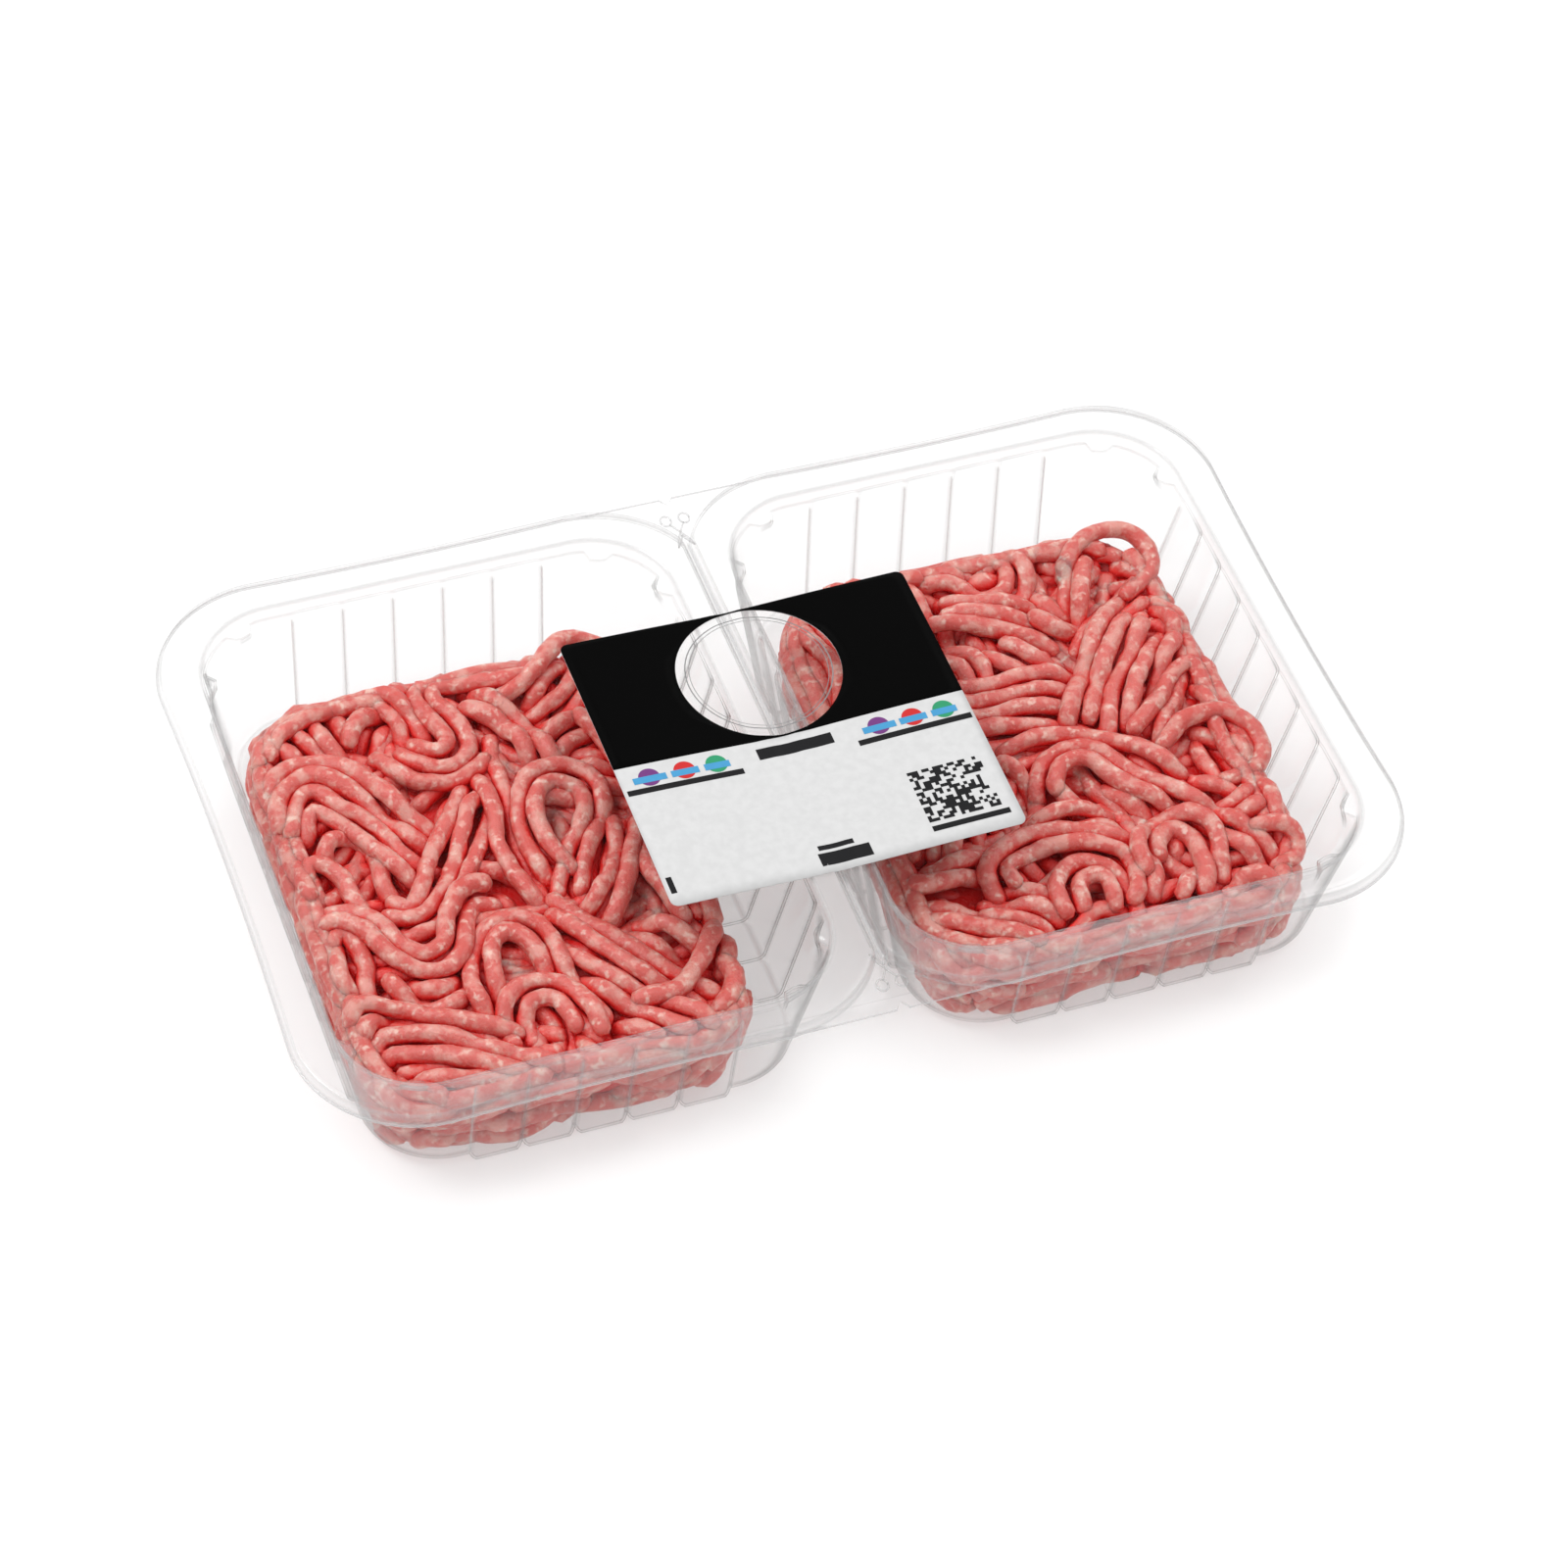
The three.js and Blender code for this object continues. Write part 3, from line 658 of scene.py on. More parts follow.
LEFT_RUNS = [
    (3, [(-138, -62), (-139, -35), (-139, -10), (-138, 15), (-137, 35), (-135, 50)]),
    (3, [(-64, 44), (-56, 42), (-48, 46), (-40, 52), (-34, 58)]),
    (2, [(-60, 22), (-54, 30), (-46, 34), (-38, 36), (-30, 34)]),
    (3, [(-40, 40), (-34, 20), (-33, 0), (-38, -20), (-34, -40)]),
    (3, [(-28, 50), (-26, 20), (-27, -10), (-30, -36)]),
    (3, [(-76, 52), (-68, 44), (-63, 34), (-61, 24), (-62, 14)]),
    (3, [(-130, -66), (-120, -64), (-108, -69), (-98, -75), (-86, -78)]),
    (4, [(-136, -56), (-128, -50), (-116, -54), (-104, -61), (-92, -68), (-84, -76)]),
    (1, [(-134, -22), (-128, -18), (-125, -28), (-127, -40), (-122, -46)]),
    (1, [(-127, 8), (-122, 14), (-115, 14), (-112, 4), (-112, -6), (-106, -14)]),
    (1, [(-136, 2), (-130, 8), (-124, 3), (-122, -8), (-116, -18), (-108, -24), (-100, -22)]),
    (4, [(-137, 14), (-131, 28), (-122, 33), (-113, 25), (-105, 11), (-98, 0), (-92, -4)]),
    (3, [(-118, -12), (-108, -18), (-98, -10), (-90, 2), (-83, 14), (-75, 24), (-70, 33)]),
    (3, [(-66, -62), (-56, -70), (-50, -78)]),
    (3, [(-62, -36), (-52, -42), (-44, -50), (-38, -58), (-34, -66)]),
    (2, [(-70, 44), (-74, 30), (-75, 14), (-76, 0), (-75, -14), (-70, -24), (-62, -26), (-56, -16), (-50, -4),
         (-44, 8)]),
    (2, [(-64, -18), (-69, -6), (-69, 8), (-63, 17), (-55, 17), (-50, 10), (-53, 0), (-60, -9), (-66, -20),
         (-70, -28)]),
    (2, [(-70, -32), (-60, -30), (-52, -20), (-46, -8), (-42, 4)]),
    (2, [(-118, -34), (-116, -42), (-109, -46), (-102, -42), (-100, -32)]),
    (4, [(-80, -22), (-72, -36), (-64, -48), (-56, -58), (-46, -68), (-40, -76)]),
    (2, [(-97, -58), (-97, -42), (-92, -30), (-86, -27), (-80, -32), (-78, -44), (-75, -58), (-71, -72)]),
    (2, [(-138, -12), (-128, -12), (-121, -18), (-117, -28), (-110, -34), (-102, -31), (-98, -22), (-92, -15),
         (-84, -16)]),
    (2, [(-93, -66), (-93, -56), (-88, -51), (-80, -52), (-76, -60), (-75, -72)]),
    (2, [(-46, -64), (-38, -67), (-32, -60), (-36, -52)]),
    (1, [(-62, -60), (-50, -62), (-42, -56), (-36, -47), (-30, -42)]),
    (1, [(-138, -48), (-131, -43), (-121, -45), (-110, -52), (-100, -58), (-92, -62)]),
    (2, [(-135, 44), (-128, 54), (-117, 60), (-106, 64), (-97, 61), (-91, 52), (-89, 42), (-86, 35)]),
    (1, [(-103, 41), (-98, 33), (-92, 27), (-84, 25), (-76, 28), (-71, 34)]),
    (2, [(-94, 44), (-91, 37), (-85, 33), (-79, 37), (-80, 46), (-83, 55), (-80, 62), (-71, 62), (-61, 58),
         (-51, 56)]),
]

RIGHT_RUNS = [
    (3, [(20, 50), (18, 25), (20, 0), (18, -25), (19, -50)]),
    (3, [(30, 56), (34, 30), (30, 5), (36, -20), (30, -44)]),
    (4, [(40, 50), (44, 30), (40, 10), (46, -10), (42, -34)]),
    (3, [(118, -76), (128, -60), (131, -40), (130, -20), (131, 0), (131, 20), (126, 40)]),
    (1, [(50, 56), (58, 63), (68, 66), (75, 60), (76, 50)]),
    (2, [(62, 56), (70, 52), (80, 46), (88, 46), (93, 52), (92, 60), (88, 64), (84, 58)]),
    (3, [(60, 46), (72, 42), (84, 38), (93, 32), (99, 26)]),
    (2, [(58, 30), (66, 24), (68, 14), (74, 11), (84, 12), (92, 9)]),
    (2, [(74, 32), (80, 22), (86, 16), (92, 14)]),
    (3, [(96, 22), (104, 32), (112, 40), (120, 46)]),
    (2, [(92, 44), (95, 34), (100, 31), (104, 38), (108, 48), (112, 56)]),
    (3, [(98, 14), (108, 24), (118, 32), (130, 36)]),
    (5, [(46, 7), (62, 5), (76, 4), (88, 2), (96, -4)]),
    (6, [(95, -14), (101, -3), (110, 9), (119, 20), (127, 27)]),
    (1, [(100, -12), (112, -4), (122, 5), (129, 6), (131, -4), (130, -16)]),
    (2, [(104, -48), (114, -46), (124, -44), (130, -40)]),
    (3, [(94, -76), (102, -68), (112, -65), (120, -70), (124, -78)]),
    (2, [(60, -10), (74, -10), (88, -12), (98, -20), (106, -30), (116, -33)]),
    (1, [(60, -36), (66, -28), (64, -16), (60, -12)]),
    (2, [(56, -40), (70, -37), (84, -40), (90, -46)]),
    (2, [(70, -34), (70, -24), (77, -17), (87, -18), (94, -28), (102, -37), (110, -46), (117, -58),
         (122, -72)]),
    (2, [(20, -42), (28, -46), (40, -44), (50, -46)]),
    (3, [(14, -56), (26, -61), (38, -68), (50, -76)]),
    (3, [(34, -54), (44, -58), (54, -64), (60, -72)]),
    (2, [(62, -72), (62, -60), (68, -55), (75, -58), (76, -68), (74, -76)]),
    (2, [(48, -56), (46, -48), (54, -43), (66, -43), (78, -46), (85, -52), (83, -64), (77, -74)]),
    (2, [(88, -62), (90, -50), (98, -45), (105, -50), (105, -62), (99, -74)]),
    (1, [(118, -54), (128, -56), (134, -62), (130, -68), (120, -66)]),
]

LEFT_HOLES = [(-106, 41, 3.5), (-128, -5, 3), (-63, 4, 6), (-84, -14, 5), (-86, -39, 7), (-130, 15, 4),
              (-128, -35, 3), (-99, -54, 3), (-68, 38, 3), (-94, 6, 3), (-46, -54, 3)]
RIGHT_HOLES = [(66, 42, 4), (65, 26, 3.5), (76, 17, 3), (118, 11, 5), (69, -63, 3.5), (90, -58, 5),
               (80, -25, 5), (62, -30, 4), (98, -39, 3), (110, -57, 3), (101, 45, 3), (26, -71, 4)]

LEFT_LOOPS = [
    [(-67, 49, 25), (-59, 50, 27.5), (-53, 53, 29), (-48, 57, 30), (-43, 61, 29.8), (-38, 62.5, 28.5),
     (-33, 61, 27), (-28, 57, 25.5)],
]

RIGHT_LOOPS = [
    [(104, 46, 24), (110, 55, 27), (118, 59, 28), (127, 59, 27), (132, 53, 26), (131, 45, 25), (126, 40, 25),
     (118, 36, 25)],
    [(106, -20, 25), (116, -14, 28), (127, -14, 28), (133, -20, 27), (134, -28, 25), (128, -34, 24),
     (118, -35, 24)],
]


class Heap:
    """A heap's skin laid out flat: a place past the top's edge lies on the side below it."""

    corner = 17.0
    top = 30.0
    edge_round = 9.0
    cell = 1.0
    reach = 110.0

    def __init__(self, middle, half, wall_sign):
        self.middle = np.array(middle, float)
        self.half = np.array(half, float)
        self.wall_sign = wall_sign
        size = int(2 * self.reach / self.cell)
        self.undersides = np.full((size, size), 9.0)

    def on_skin(self, places, heights):
        """Places of the flat layout, a height above the skin, in the frame's millimetres."""
        local = places - self.middle
        nearest = np.clip(local, -(self.half - self.corner), self.half - self.corner)
        away = local - nearest
        distance = np.linalg.norm(away, axis=1)
        outwards = away / np.maximum(distance, 1e-6)[:, None]
        beyond = distance - self.corner
        turn = np.clip(beyond / self.edge_round, 0, math.pi / 2)
        further = np.maximum(beyond - self.edge_round * math.pi / 2, 0)
        out = np.where(beyond > 0, self.edge_round * np.sin(turn) - 0.14 * further, beyond)
        drop = np.where(beyond > 0, self.edge_round * (1 - np.cos(turn)) + 0.99 * further, 0)
        plan = self.middle + nearest + outwards * (self.corner + out)[:, None]
        skin = np.column_stack([plan, self.top - drop])
        normal = np.column_stack([outwards * np.sin(turn)[:, None], np.cos(turn)])
        return skin + normal * heights[:, None]

    def beyond(self, places):
        """How far places lie past the edge of the flat top."""
        local = np.abs(places - self.middle) - (self.half - self.corner)
        return np.linalg.norm(np.maximum(local, 0), axis=1) - self.corner

    def foot(self):
        """How far past that edge the skin reaches the floor."""
        return self.edge_round * math.pi / 2 + self.top - self.edge_round - FLOOR_TOP - 2.0

    def cells(self, places):
        index = np.round((places - self.middle + self.reach) / self.cell).astype(int)
        margin = 6
        return np.clip(index, margin, len(self.undersides) - 1 - margin)

    def footprint(self, line, radius):
        """The cells under a strand, and how far its surface is from its middle there."""
        reach = int(0.85 * radius / self.cell)
        across = np.arange(-reach, reach + 1) * self.cell
        dx, dy = (a.ravel() for a in np.meshgrid(across, across))
        inside = dx ** 2 + dy ** 2 <= (0.85 * radius) ** 2
        dx, dy = dx[inside], dy[inside]
        index = self.cells(line)
        ix = index[:, 0, None] + (dx / self.cell).astype(int)
        iy = index[:, 1, None] + (dy / self.cell).astype(int)
        return (ix, iy), np.sqrt(radius ** 2 - dx ** 2 - dy ** 2)

    def fit(self, line, radius, level):
        """Heights of a strand, at most a level above the skin and under what lies there."""
        cells, rise = self.footprint(line, radius)
        heights = np.minimum((self.undersides[cells] - 0.5 * rise).min(axis=1), level)
        return smoothed(np.minimum(heights, smoothed(heights, 2)), 2)

    def cover(self, line, heights, radius):
        """Notes a strand's underside, so that later strands go below it."""
        cells, rise = self.footprint(line, radius)
        np.minimum.at(self.undersides, cells, heights[:, None] - 0.75 * rise)


def smoothed(values, width):
    """Values along a line, averaged over their neighbours."""
    padded = np.concatenate([np.repeat(values[:1], width, 0), values, np.repeat(values[-1:], width, 0)])
    kernel = np.hanning(2 * width + 3)[1:-1]
    kernel /= kernel.sum()
    if values.ndim == 1:
        return np.convolve(padded, kernel, "valid")
    return np.column_stack([np.convolve(column, kernel, "valid") for column in padded.T])


def curve_through(points, step):
    """A smooth line through points, with even steps."""
    points = np.asarray(points, float)
    ends = [2 * points[0] - points[1], 2 * points[-1] - points[-2]]
    padded = np.vstack([ends[:1], points, ends[1:]])
    fine = []
    for i in range(len(points) - 1):
        a, b, c, d = padded[i:i + 4]
        t = np.linspace(0, 1, 24, endpoint=False)[:, None]
        fine.append(0.5 * (2 * b + (c - a) * t + (2 * a - 5 * b + 4 * c - d) * t ** 2
                           + (3 * b - a - 3 * c + d) * t ** 3))
    fine = np.vstack(fine + [points[-1:]])
    lengths = np.concatenate([[0], np.cumsum(np.linalg.norm(np.diff(fine, axis=0), axis=1))])
    places = np.linspace(0, lengths[-1], max(4, int(lengths[-1] / step) + 1))
    return np.column_stack([np.interp(places, lengths, column) for column in fine.T])


def side_by_side(line, count, random):
    """Lines beside each other along a middle line, each with its own waver and ends."""
    along = unit(np.gradient(smoothed(line, 3), axis=0))
    across = np.column_stack([-along[:, 1], along[:, 0]])
    lines = []
    for k in range(count):
        offset = (k - (count - 1) / 2) * STRAND_SPACING
        places = np.arange(len(line)) * STRAND_STEP * 2 * math.pi
        waver = random.uniform(0.3, 1.0) * np.sin(places / random.uniform(24, 50) + random.uniform(0, 6.3))
        waver += 0.15 * np.sin(places / random.uniform(9, 16) + random.uniform(0, 6.3))
        strand = line + across * (offset + waver)[:, None]
        cut = random.integers(0, 4, 2) if count > 1 else (0, 0)
        strand = strand[cut[0]:len(strand) - cut[1]]
        lines.append(curve_through(strand[::2], STRAND_STEP) if len(strand) > 8 else strand)
    return lines


def wandering_line(start, heading, length, random):
    """A random line that wanders and sometimes turns back."""
    steps = int(length / STRAND_STEP)
    bend = smoothed(random.normal(0, 0.16, steps + 1), 7) * 2.2
    turn = random.integers(6, max(7, steps - 6))
    bend[turn:turn + 8] += random.choice([-1, 1]) * random.uniform(0.1, 0.3)
    angles = heading + np.cumsum(bend)
    moves = STRAND_STEP * np.column_stack([np.cos(angles), np.sin(angles)])
    return np.asarray(start) + np.vstack([[0, 0], np.cumsum(moves, axis=0)])


def wall_belts(heap, random, all_round=False):
    """Strands that lie along the heap's sides, all round or where it is pressed against the walls."""
    lines = []
    for beyond in SIDE_LEVELS:
        outline = rounded_outline(heap.half + beyond, heap.corner + beyond, 8, 12) + heap.middle
        outline = curve_through(np.vstack([outline, outline[:1]]), STRAND_STEP)
        outwards = unit(outline - heap.middle)
        start = int(random.integers(0, 20))
        while start < len(outline) - 12:
            length = int(random.integers(12, 32))
            line = outline[start:start + length].copy()
            slope = random.uniform(-0.45, 0.45) * (np.arange(len(line)) - len(line) / 2)
            line += outwards[start:start + length] * slope[:, None]
            line += 2.6 * smoothed(random.normal(0, 1.8, line.shape), 6)
            pressed = line[:, 1] < heap.middle[1] - heap.half[1] + 12
            if heap.wall_sign < 0:
                pressed |= line[:, 0] < heap.middle[0] - heap.half[0]
            lines += [line[a:b] for a, b in kept_stretches(pressed | all_round, 9)]
            start += length
    return lines


def bare_places(heap):
    """Places of the skin with no strand over them or right beside them."""
    bare = heap.undersides > 5
    for _ in range(2):
        for axis in (0, 1):
            bare = bare & np.roll(bare, 1, axis) & np.roll(bare, -1, axis)
    index = np.argwhere(bare)
    places = index * heap.cell - heap.reach + heap.middle
    return places[heap.beyond(places) < heap.foot() - 2]


def fill_layer(heap, count, random):
    """Bundles of strands at random places over the whole skin."""
    reach = heap.half + 22
    lines = []
    for _ in range(count):
        start = heap.middle + random.uniform(-1, 1, 2) * reach
        middle = wandering_line(start, random.uniform(0, 2 * math.pi), random.uniform(60, 130), random)
        lines += side_by_side(middle, int(random.integers(3, 6)), random)
    return lines


def floor_rows(heap, random):
    """Wavy strands side by side, over the whole floor under a heap."""
    reach = heap.half.max() + 12
    along = np.arange(-reach, reach, STRAND_STEP)
    bend = 18 * smoothed(random.normal(0, 1.0, len(along)), 12)
    turn = random.uniform(0.2, 0.6)
    lines = []
    for offset in np.arange(-reach, reach, 0.92 * STRAND_SPACING):
        across = offset + bend + 2.0 * smoothed(random.normal(0, 1.0, len(along)), 6)
        lines.append(heap.middle + np.column_stack([along * math.cos(turn) - across * math.sin(turn),
                                                    along * math.sin(turn) + across * math.cos(turn)]))
    return lines


def strand_rings(centres, radii):
    """Rings of points round a line."""
    along = unit(np.gradient(centres, axis=0))
    side = unit(np.cross(along, (0.0, 0.0, 1.0)), 1e-6)
    up = np.cross(side, along)
    turns = np.linspace(0, 2 * math.pi, STRAND_SIDES, endpoint=False)
    outwards = side[:, None] * np.cos(turns)[:, None] + up[:, None] * np.sin(turns)[:, None]
    return centres[:, None] + outwards * radii[:, None, None]


def lumps(points):
    """Small uneven swellings of the strands' skin, in millimetres."""
    random = np.random.default_rng(SEED + 1)
    swell = np.zeros(len(points))
    for _ in range(14):
        direction = random.normal(size=3)
        direction /= np.linalg.norm(direction)
        wave = random.uniform(2.6, 6.5)
        swell += 0.009 * wave * np.sin(points @ direction * 2 * math.pi / wave + random.uniform(0, 6.3))
    return swell


def inside_cell(points, sign):
    """Points moved back to where the cell's wall and floor hold them."""
    depth = RIM_HEIGHT - points[:, 2]
    local = np.column_stack([points[:, 0] * sign - CELL_MIDDLE, points[:, 1]])
    inset = np.column_stack(wall_inset(depth))
    half = np.array(OPENING_HALF) - inset + 0.05
    radius = OPENING_RADIUS - CORNER_EASE * inset.mean(axis=1)
    core = half - radius[:, None]
    nearest = np.clip(local, -core, core)
    away = local - nearest
    distance = np.linalg.norm(away, axis=1)
    share = np.minimum(1, radius / np.maximum(distance, 1e-6))
    held = nearest + away * share[:, None]
    z = np.maximum(points[:, 2], FLOOR_TOP + FLOOR_GAP)
    return np.column_stack([(held[:, 0] + CELL_MIDDLE) * sign, held[:, 1], z])


def in_hole(line, holes):
    """Which places of a line are in one of the hollows between the strands."""
    inside = np.zeros(len(line), bool)
    for x, y, radius in holes:
        inside |= np.hypot(line[:, 0] - x, line[:, 1] - y) < radius
    return inside


def kept_stretches(keep, least):
    """The stretches of a line that are kept, as pairs of a start and an end."""
    edges = np.flatnonzero(np.diff(np.concatenate([[0], keep.astype(int), [0]])))
    return [(a, b) for a, b in zip(edges[::2], edges[1::2]) if b - a >= least]


def laid_strands(heap, runs, holes, random):
    """All strands of a heap, from the ones that lie on top to the ones below them."""
    strands = []

    def lay_line(line, level, spread):
        radius = STRAND_RADIUS * random.uniform(0.92, 1.08)
        waves = level + np.clip(spread * smoothed(random.normal(-1.0, 4.0, len(line)), 9), -3.0, 0.9)
        heights = heap.fit(line, radius, waves - radius)
        deepest = np.where(heap.beyond(line) > 0, DEEPEST_SIDE, DEEPEST_TOP)
        for a, b in kept_stretches(heights > deepest, 8):
            from_end = np.minimum(np.arange(b - a), np.arange(b - a)[::-1])
            dive = END_DIVE * np.clip(1 - from_end / 5, 0, 1) ** 2
            heap.cover(line[a:b], heights[a:b], radius)
            strands.append((line[a:b], heights[a:b] - dive, radius))

    for count, guide in reversed(runs):
        middle = curve_through(guide, STRAND_STEP)
        for line in side_by_side(middle, count, random):
            for a, b in kept_stretches(heap.beyond(line) < heap.foot(), 5):
                lay_line(line[a:b], 0.0, 1.0)
    for line in wall_belts(heap, random):
        lay_line(line, 0.3, 0.5)
    for bundles, level in FILL_LAYERS:
        for line in fill_layer(heap, bundles, random):
            open_places = ~in_hole(line, holes) if level > -3 else np.ones(len(line), bool)
            keep = open_places & (heap.beyond(line) < heap.foot())
            for a, b in kept_stretches(keep, 9):
                lay_line(line[a:b], level, 0.8)
    for _ in range(PATCH_TRIES):
        bare = bare_places(heap)
        if len(bare) < 8:
            break
        heading = random.uniform(0, 2 * math.pi)
        length = random.uniform(30, 60)
        ahead = np.array([math.cos(heading), math.sin(heading)])
        start = bare[random.integers(len(bare))] - 0.5 * length * ahead
        middle = wandering_line(start, heading, length, random)
        for line in side_by_side(middle, 3, random):
            for a, b in kept_stretches(heap.beyond(line) < heap.foot(), 8):
                level = np.interp(heap.beyond(line[a:b]), [0, 8], [-5.0, -0.6])
                lay_line(line[a:b], level, 0.8)
    return strands


def strand_tubes(tubes):
    """Points, normals and faces of strands, each a line with a radius at every ring."""
    points, normals, faces = [], [], []
    first = 0
    for centres, radii in tubes:
        rings = strand_rings(centres, radii)
        points.append(rings.reshape(-1, 3))
        normals.append(((rings - centres[:, None]) / np.maximum(radii, 0.1)[:, None, None]).reshape(-1, 3))
        faces += tube_faces(len(centres), first)
        first += len(centres) * STRAND_SIDES
    return np.vstack(points), np.vstack(normals), faces


def closeness(lines, points, normals):
    """How much strand stands close round each point, from 0 in the open to 1 deep between strands."""
    low = points.min(axis=0) - 10
    size = tuple((np.ceil(points.max(axis=0) + 10 - low)).astype(int))
    filled = np.zeros(size, np.float32)
    across = np.arange(-3, 4)
    ball = np.array([(x, y, z) for x in across for y in across for z in across
                     if x * x + y * y + z * z <= STRAND_RADIUS ** 2])
    for centres in lines:
        index = np.round(centres - low).astype(int)[:, None] + ball
        filled[tuple(np.clip(index, 0, np.array(size) - 1).reshape(-1, 3).T)] = 1.0
    for axis in (0, 1, 2, 0, 1, 2):
        filled = (filled + np.roll(filled, 1, axis) + np.roll(filled, -1, axis)
                  + np.roll(filled, 2, axis) + np.roll(filled, -2, axis)) / 5
    index = np.round(points + normals * 2.0 - low).astype(int)
    share = filled[tuple(np.clip(index, 0, np.array(size) - 1).T)]
    return np.clip((share - 0.24) / 0.5, 0, 1)


def make_heap(name, node, heap, runs, holes, loops, material, random):
    """The strands that show, with a painted shade where they lie low or close together and darker where they
    press against a wall, and their base.
    """
    strands = [(heap.on_skin(line, heights), heights, radius)
               for line, heights, radius in laid_strands(heap, runs, holes, random)]
    for loop in loops:
        line = curve_through(loop, STRAND_STEP)
        strands.append((line, np.full(len(line), -STRAND_RADIUS), STRAND_RADIUS))
    tubes, depths = [], []
    turns = np.linspace(0, 2 * math.pi, STRAND_SIDES, endpoint=False)
    for coarse, coarse_heights, radius in strands:
        centres = curve_through(coarse, RING_STEP)
        count = len(centres)
        heights = np.interp(np.linspace(0, 1, count), np.linspace(0, 1, len(coarse)), coarse_heights)
        ends = np.minimum(np.arange(count), np.arange(count)[::-1]) * RING_STEP / radius
        waves = 1 + 0.06 * np.sin(np.arange(count) * 0.26 + random.uniform(0, 6))
        radii = radius * waves * np.sqrt(np.clip(1 - (1 - np.minimum(ends + 0.12, 1)) ** 2, 0, 1))
        tubes.append((centres, radii))
        depths.append(-(heights[:, None] + radii[:, None] * np.sin(turns)).ravel())
    points, normals, faces = strand_tubes(tubes)
    lines = [line for line, _, _ in strands]
    deep = np.clip((np.concatenate(depths) - 3.0) / 9.0, 0, 1)
    lumpy = points + normals * lumps(points)[:, None]
    held = inside_cell(lumpy, heap.wall_sign)
    pressed = np.clip(np.linalg.norm(held - lumpy, axis=1) / 0.8, 0, 1)
    # painted shade between the strands and where they lie low, plus a darker tone where they press against
    # the wall
    painted_shade_and_press = np.clip(closeness(lines, points, normals) + 0.7 * deep + 0.3 * pressed, 0, 1)
    mince = mesh_object(name, held, faces, material)
    set_attribute(mince, "painted_shade_and_press", painted_shade_and_press)
    add_to_pack(mince, "mince", node)
    make_base(name.replace("strands", "base"), heap, lines, material, random)


def make_base(name, heap, shown, material, random):
    """Strands pressed flat on the cell's floor, and others behind the ones on the heap's top and sides."""
    lines = []
    for line in fill_layer(heap, 9, random) + floor_rows(heap, random):
        for a, b in kept_stretches(heap.beyond(line) < 4.0, 6):
            depth = smoothed(random.uniform(1.2, 2.4, b - a), 4)
            lines.append(np.column_stack([line[a:b], FLOOR_TOP + depth]))
    for line in fill_layer(heap, 18, random):
        for a, b in kept_stretches(heap.beyond(line) < 2.0, 6):
            lines.append(heap.on_skin(line[a:b], UNDER_TOP + 1.5 * smoothed(random.normal(0, 1.0, b - a), 5)))
    for line in wall_belts(heap, random, True):
        lines.append(heap.on_skin(line, UNDER_SIDE + 1.5 * smoothed(random.normal(0, 1.0, len(line)), 5)))
    tubes, rests = [], []
    for number, centres in enumerate(lines, 1):
        # each strand rests a little higher than the last, so that none share a face on the floor
        rest = FLOOR_TOP + FLOOR_GAP + min(0.006 * number, 0.8)
        rests.append(np.full(len(centres) * STRAND_SIDES, rest))
        radii = np.full(len(centres), STRAND_RADIUS)
        radii[[0, -1]] = 0.3 * STRAND_RADIUS
        tubes.append((centres, radii))
    points, normals, faces = strand_tubes(tubes)
    held = inside_cell(points, heap.wall_sign)
    held[:, 2] = np.maximum(held[:, 2], np.concatenate(rests))
    base = mesh_object(name, held, faces, material)
    # painted shade where the base strands lie close to others
    set_attribute(base, "painted_shade_and_press", closeness(shown + lines, points, normals))
    add_to_pack(base, "mince")


def make_core(name, heap, material):
    """The body under the strands, dark all over with the painted shade of the crevices."""
    outline = rounded_outline(heap.half + 30, heap.corner + 30, 12, 10) + heap.middle
    points = []
    for share in np.linspace(0.02, 1, CORE_ROWS):
        places = heap.middle + (outline - heap.middle) * share
        depth = np.interp(heap.beyond(places), [0, 12], [10.0, 5.0])
        points.append(heap.on_skin(places, -depth))
    points = np.vstack(points)
    points[:, 2] = np.maximum(points[:, 2], FLOOR_TOP + 1.0)
    faces = tube_faces(CORE_ROWS, 0, len(outline))
    core = mesh_object(name, inside_cell(points, heap.wall_sign), faces, material)
    # painted shade: the core takes the deepest shade colour everywhere
    set_attribute(core, "painted_shade_and_press", np.ones(len(points)))
    add_to_pack(core, "mince")


# Floor, light and camera

def make_floor():
    corners = [(-4000, -4000, 0), (4000, -4000, 0), (4000, 4000, 0), (-4000, 4000, 0)]
    floor = mesh_object("studio_floor", corners, [(0, 1, 2, 3)], floor_material(), smooth=False)


def add_area_light(name, place, size, power):
    data = bpy.data.lights.new(name, "AREA")
    data.energy = power
    data.size = size
    light = bpy.data.objects.new(name, data)
    light.location = place
    light.rotation_euler = (-Vector(place)).to_track_quat("-Z", "Y").to_euler()
    bpy.context.scene.collection.objects.link(light)


def make_lights():
    world = bpy.data.worlds.new("studio")
    bpy.context.scene.world = world
    world.use_nodes = True
    background = world.node_tree.nodes["Background"]
    background.inputs["Color"].default_value = (1, 1, 1, 1)
    background.inputs["Strength"].default_value = 0.95
    add_area_light("key", (-0.75, 0.4, 1.2), 0.6, 10)
    add_area_light("fill", (0.95, 0.35, 1.1), 0.8, 4.5)
    bpy.context.scene.view_settings.view_transform = "Standard"
    world.cycles.sampling_method = "NONE"
    cycles = bpy.context.scene.cycles
    cycles.max_bounces = 8
    cycles.diffuse_bounces = 4
    cycles.glossy_bounces = 2
    cycles.transparent_max_bounces = 32


CAMERA_PLACE = (-0.3478, -0.7692, 1.0085)
CAMERA_PITCH, CAMERA_YAW, CAMERA_ROLL = (math.radians(a) for a in (49.39, -24.50, 5.95))
CAMERA_LENS = 108.83


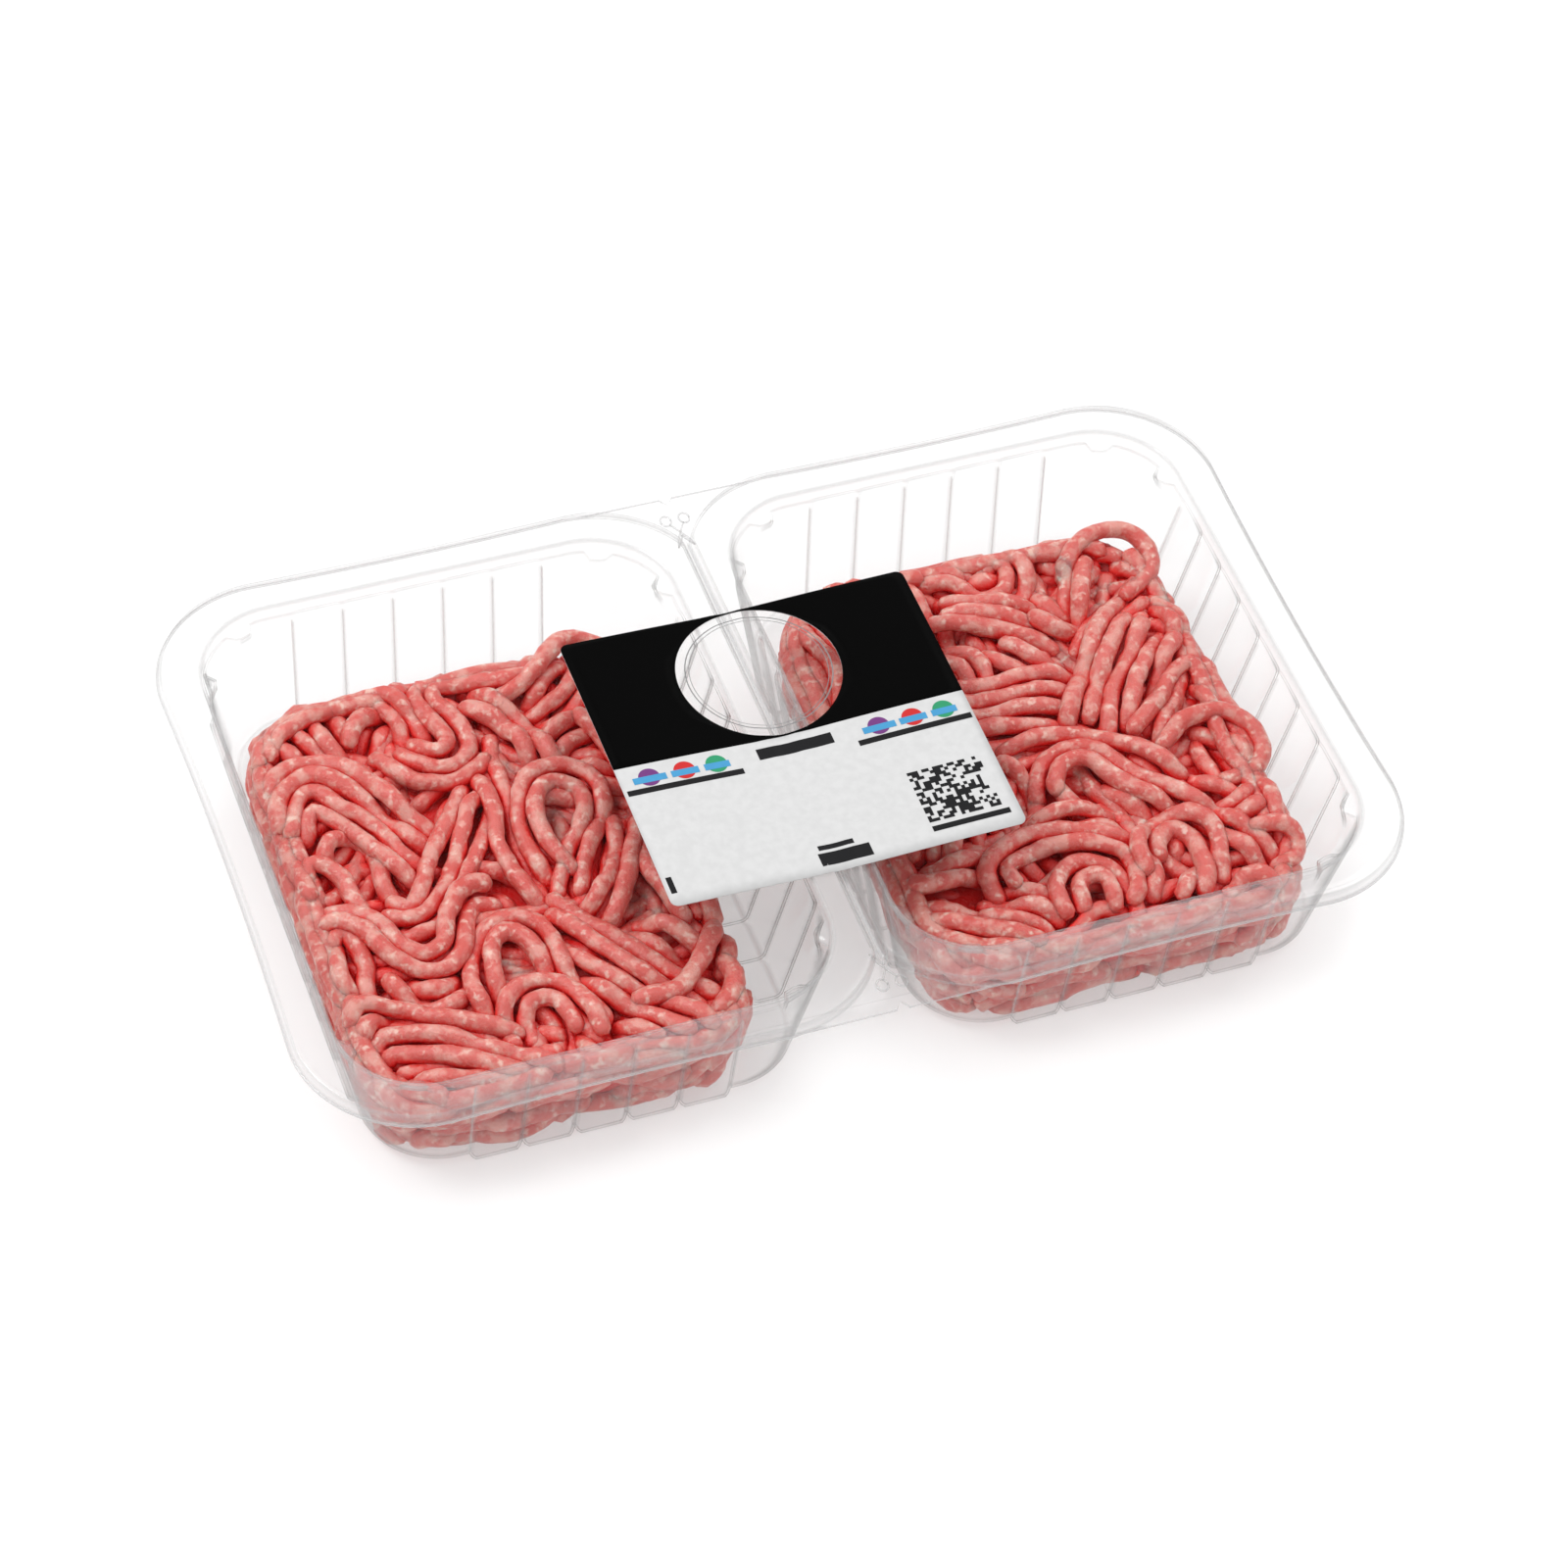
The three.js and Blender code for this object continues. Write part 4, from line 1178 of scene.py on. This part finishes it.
def make_camera():
    right = Vector((math.cos(CAMERA_YAW), math.sin(CAMERA_YAW), 0))
    ahead = Vector((-math.sin(CAMERA_YAW) * math.cos(CAMERA_PITCH),
                    math.cos(CAMERA_YAW) * math.cos(CAMERA_PITCH), -math.sin(CAMERA_PITCH)))
    up = right.cross(ahead)
    rolled_right = right * math.cos(CAMERA_ROLL) + up * math.sin(CAMERA_ROLL)
    rolled_up = up * math.cos(CAMERA_ROLL) - right * math.sin(CAMERA_ROLL)
    data = bpy.data.cameras.new("camera")
    data.lens = CAMERA_LENS
    data.sensor_width = 36.0
    data.clip_start = 0.01
    camera = bpy.data.objects.new("camera", data)
    turn = Matrix((rolled_right, rolled_up, -ahead)).transposed().to_4x4()
    camera.matrix_world = Matrix.Translation(CAMERA_PLACE) @ turn
    bpy.context.scene.collection.objects.link(camera)
    bpy.context.scene.camera = camera


def make_pack():
    random = np.random.default_rng(SEED)
    clear_sheet = clear_material("clear_sheet", tint=0.972, grazing_shade_tint=0.55, wall_haze=0.014, rim_haze=0.042,
                                 head_on=0.02, grazing=0.6)
    make_tray(clear_sheet)
    make_scissors(clear_sheet)
    make_film(clear_material("clear_film", tint=0.999, grazing_shade_tint=0.9, wall_haze=0.0, rim_haze=0.001,
                             head_on=0.001, grazing=0.35))
    make_label({
        "paper": ink_material("label_paper", (0.555, 0.555, 0.555)),
        "black": ink_material("label_black", (0.001, 0.001, 0.001), 0.02),
        "dark": ink_material("label_dark", (0.01, 0.01, 0.011), 0.1),
        "grey": ink_material("label_line", (0.2, 0.2, 0.2)),
        "purple": ink_material("label_purple", (0.14, 0.03, 0.17)),
        "red": ink_material("label_red", (0.5, 0.015, 0.015)),
        "green": ink_material("label_green", (0.02, 0.26, 0.12)),
        "blue": ink_material("label_blue", (0.05, 0.27, 0.5)),
    })
    flesh = mince_material("mince")
    left = Heap((-82.5, -8.2), (47.5, 65.0), -1)
    right = Heap((75.0, -8.2), (50.5, 65.0), 1)
    sides = [("left", left, (LEFT_RUNS, LEFT_HOLES, LEFT_LOOPS)),
             ("right", right, (RIGHT_RUNS, RIGHT_HOLES, RIGHT_LOOPS))]
    for side, heap, laid in sides:
        make_heap("mince_strands_" + side, "mince_" + side, heap, *laid, flesh, random)
    for side, heap, _ in sides:
        make_core("mince_core_" + side, heap, flesh)


make_pack()
make_floor()
make_lights()
make_camera()
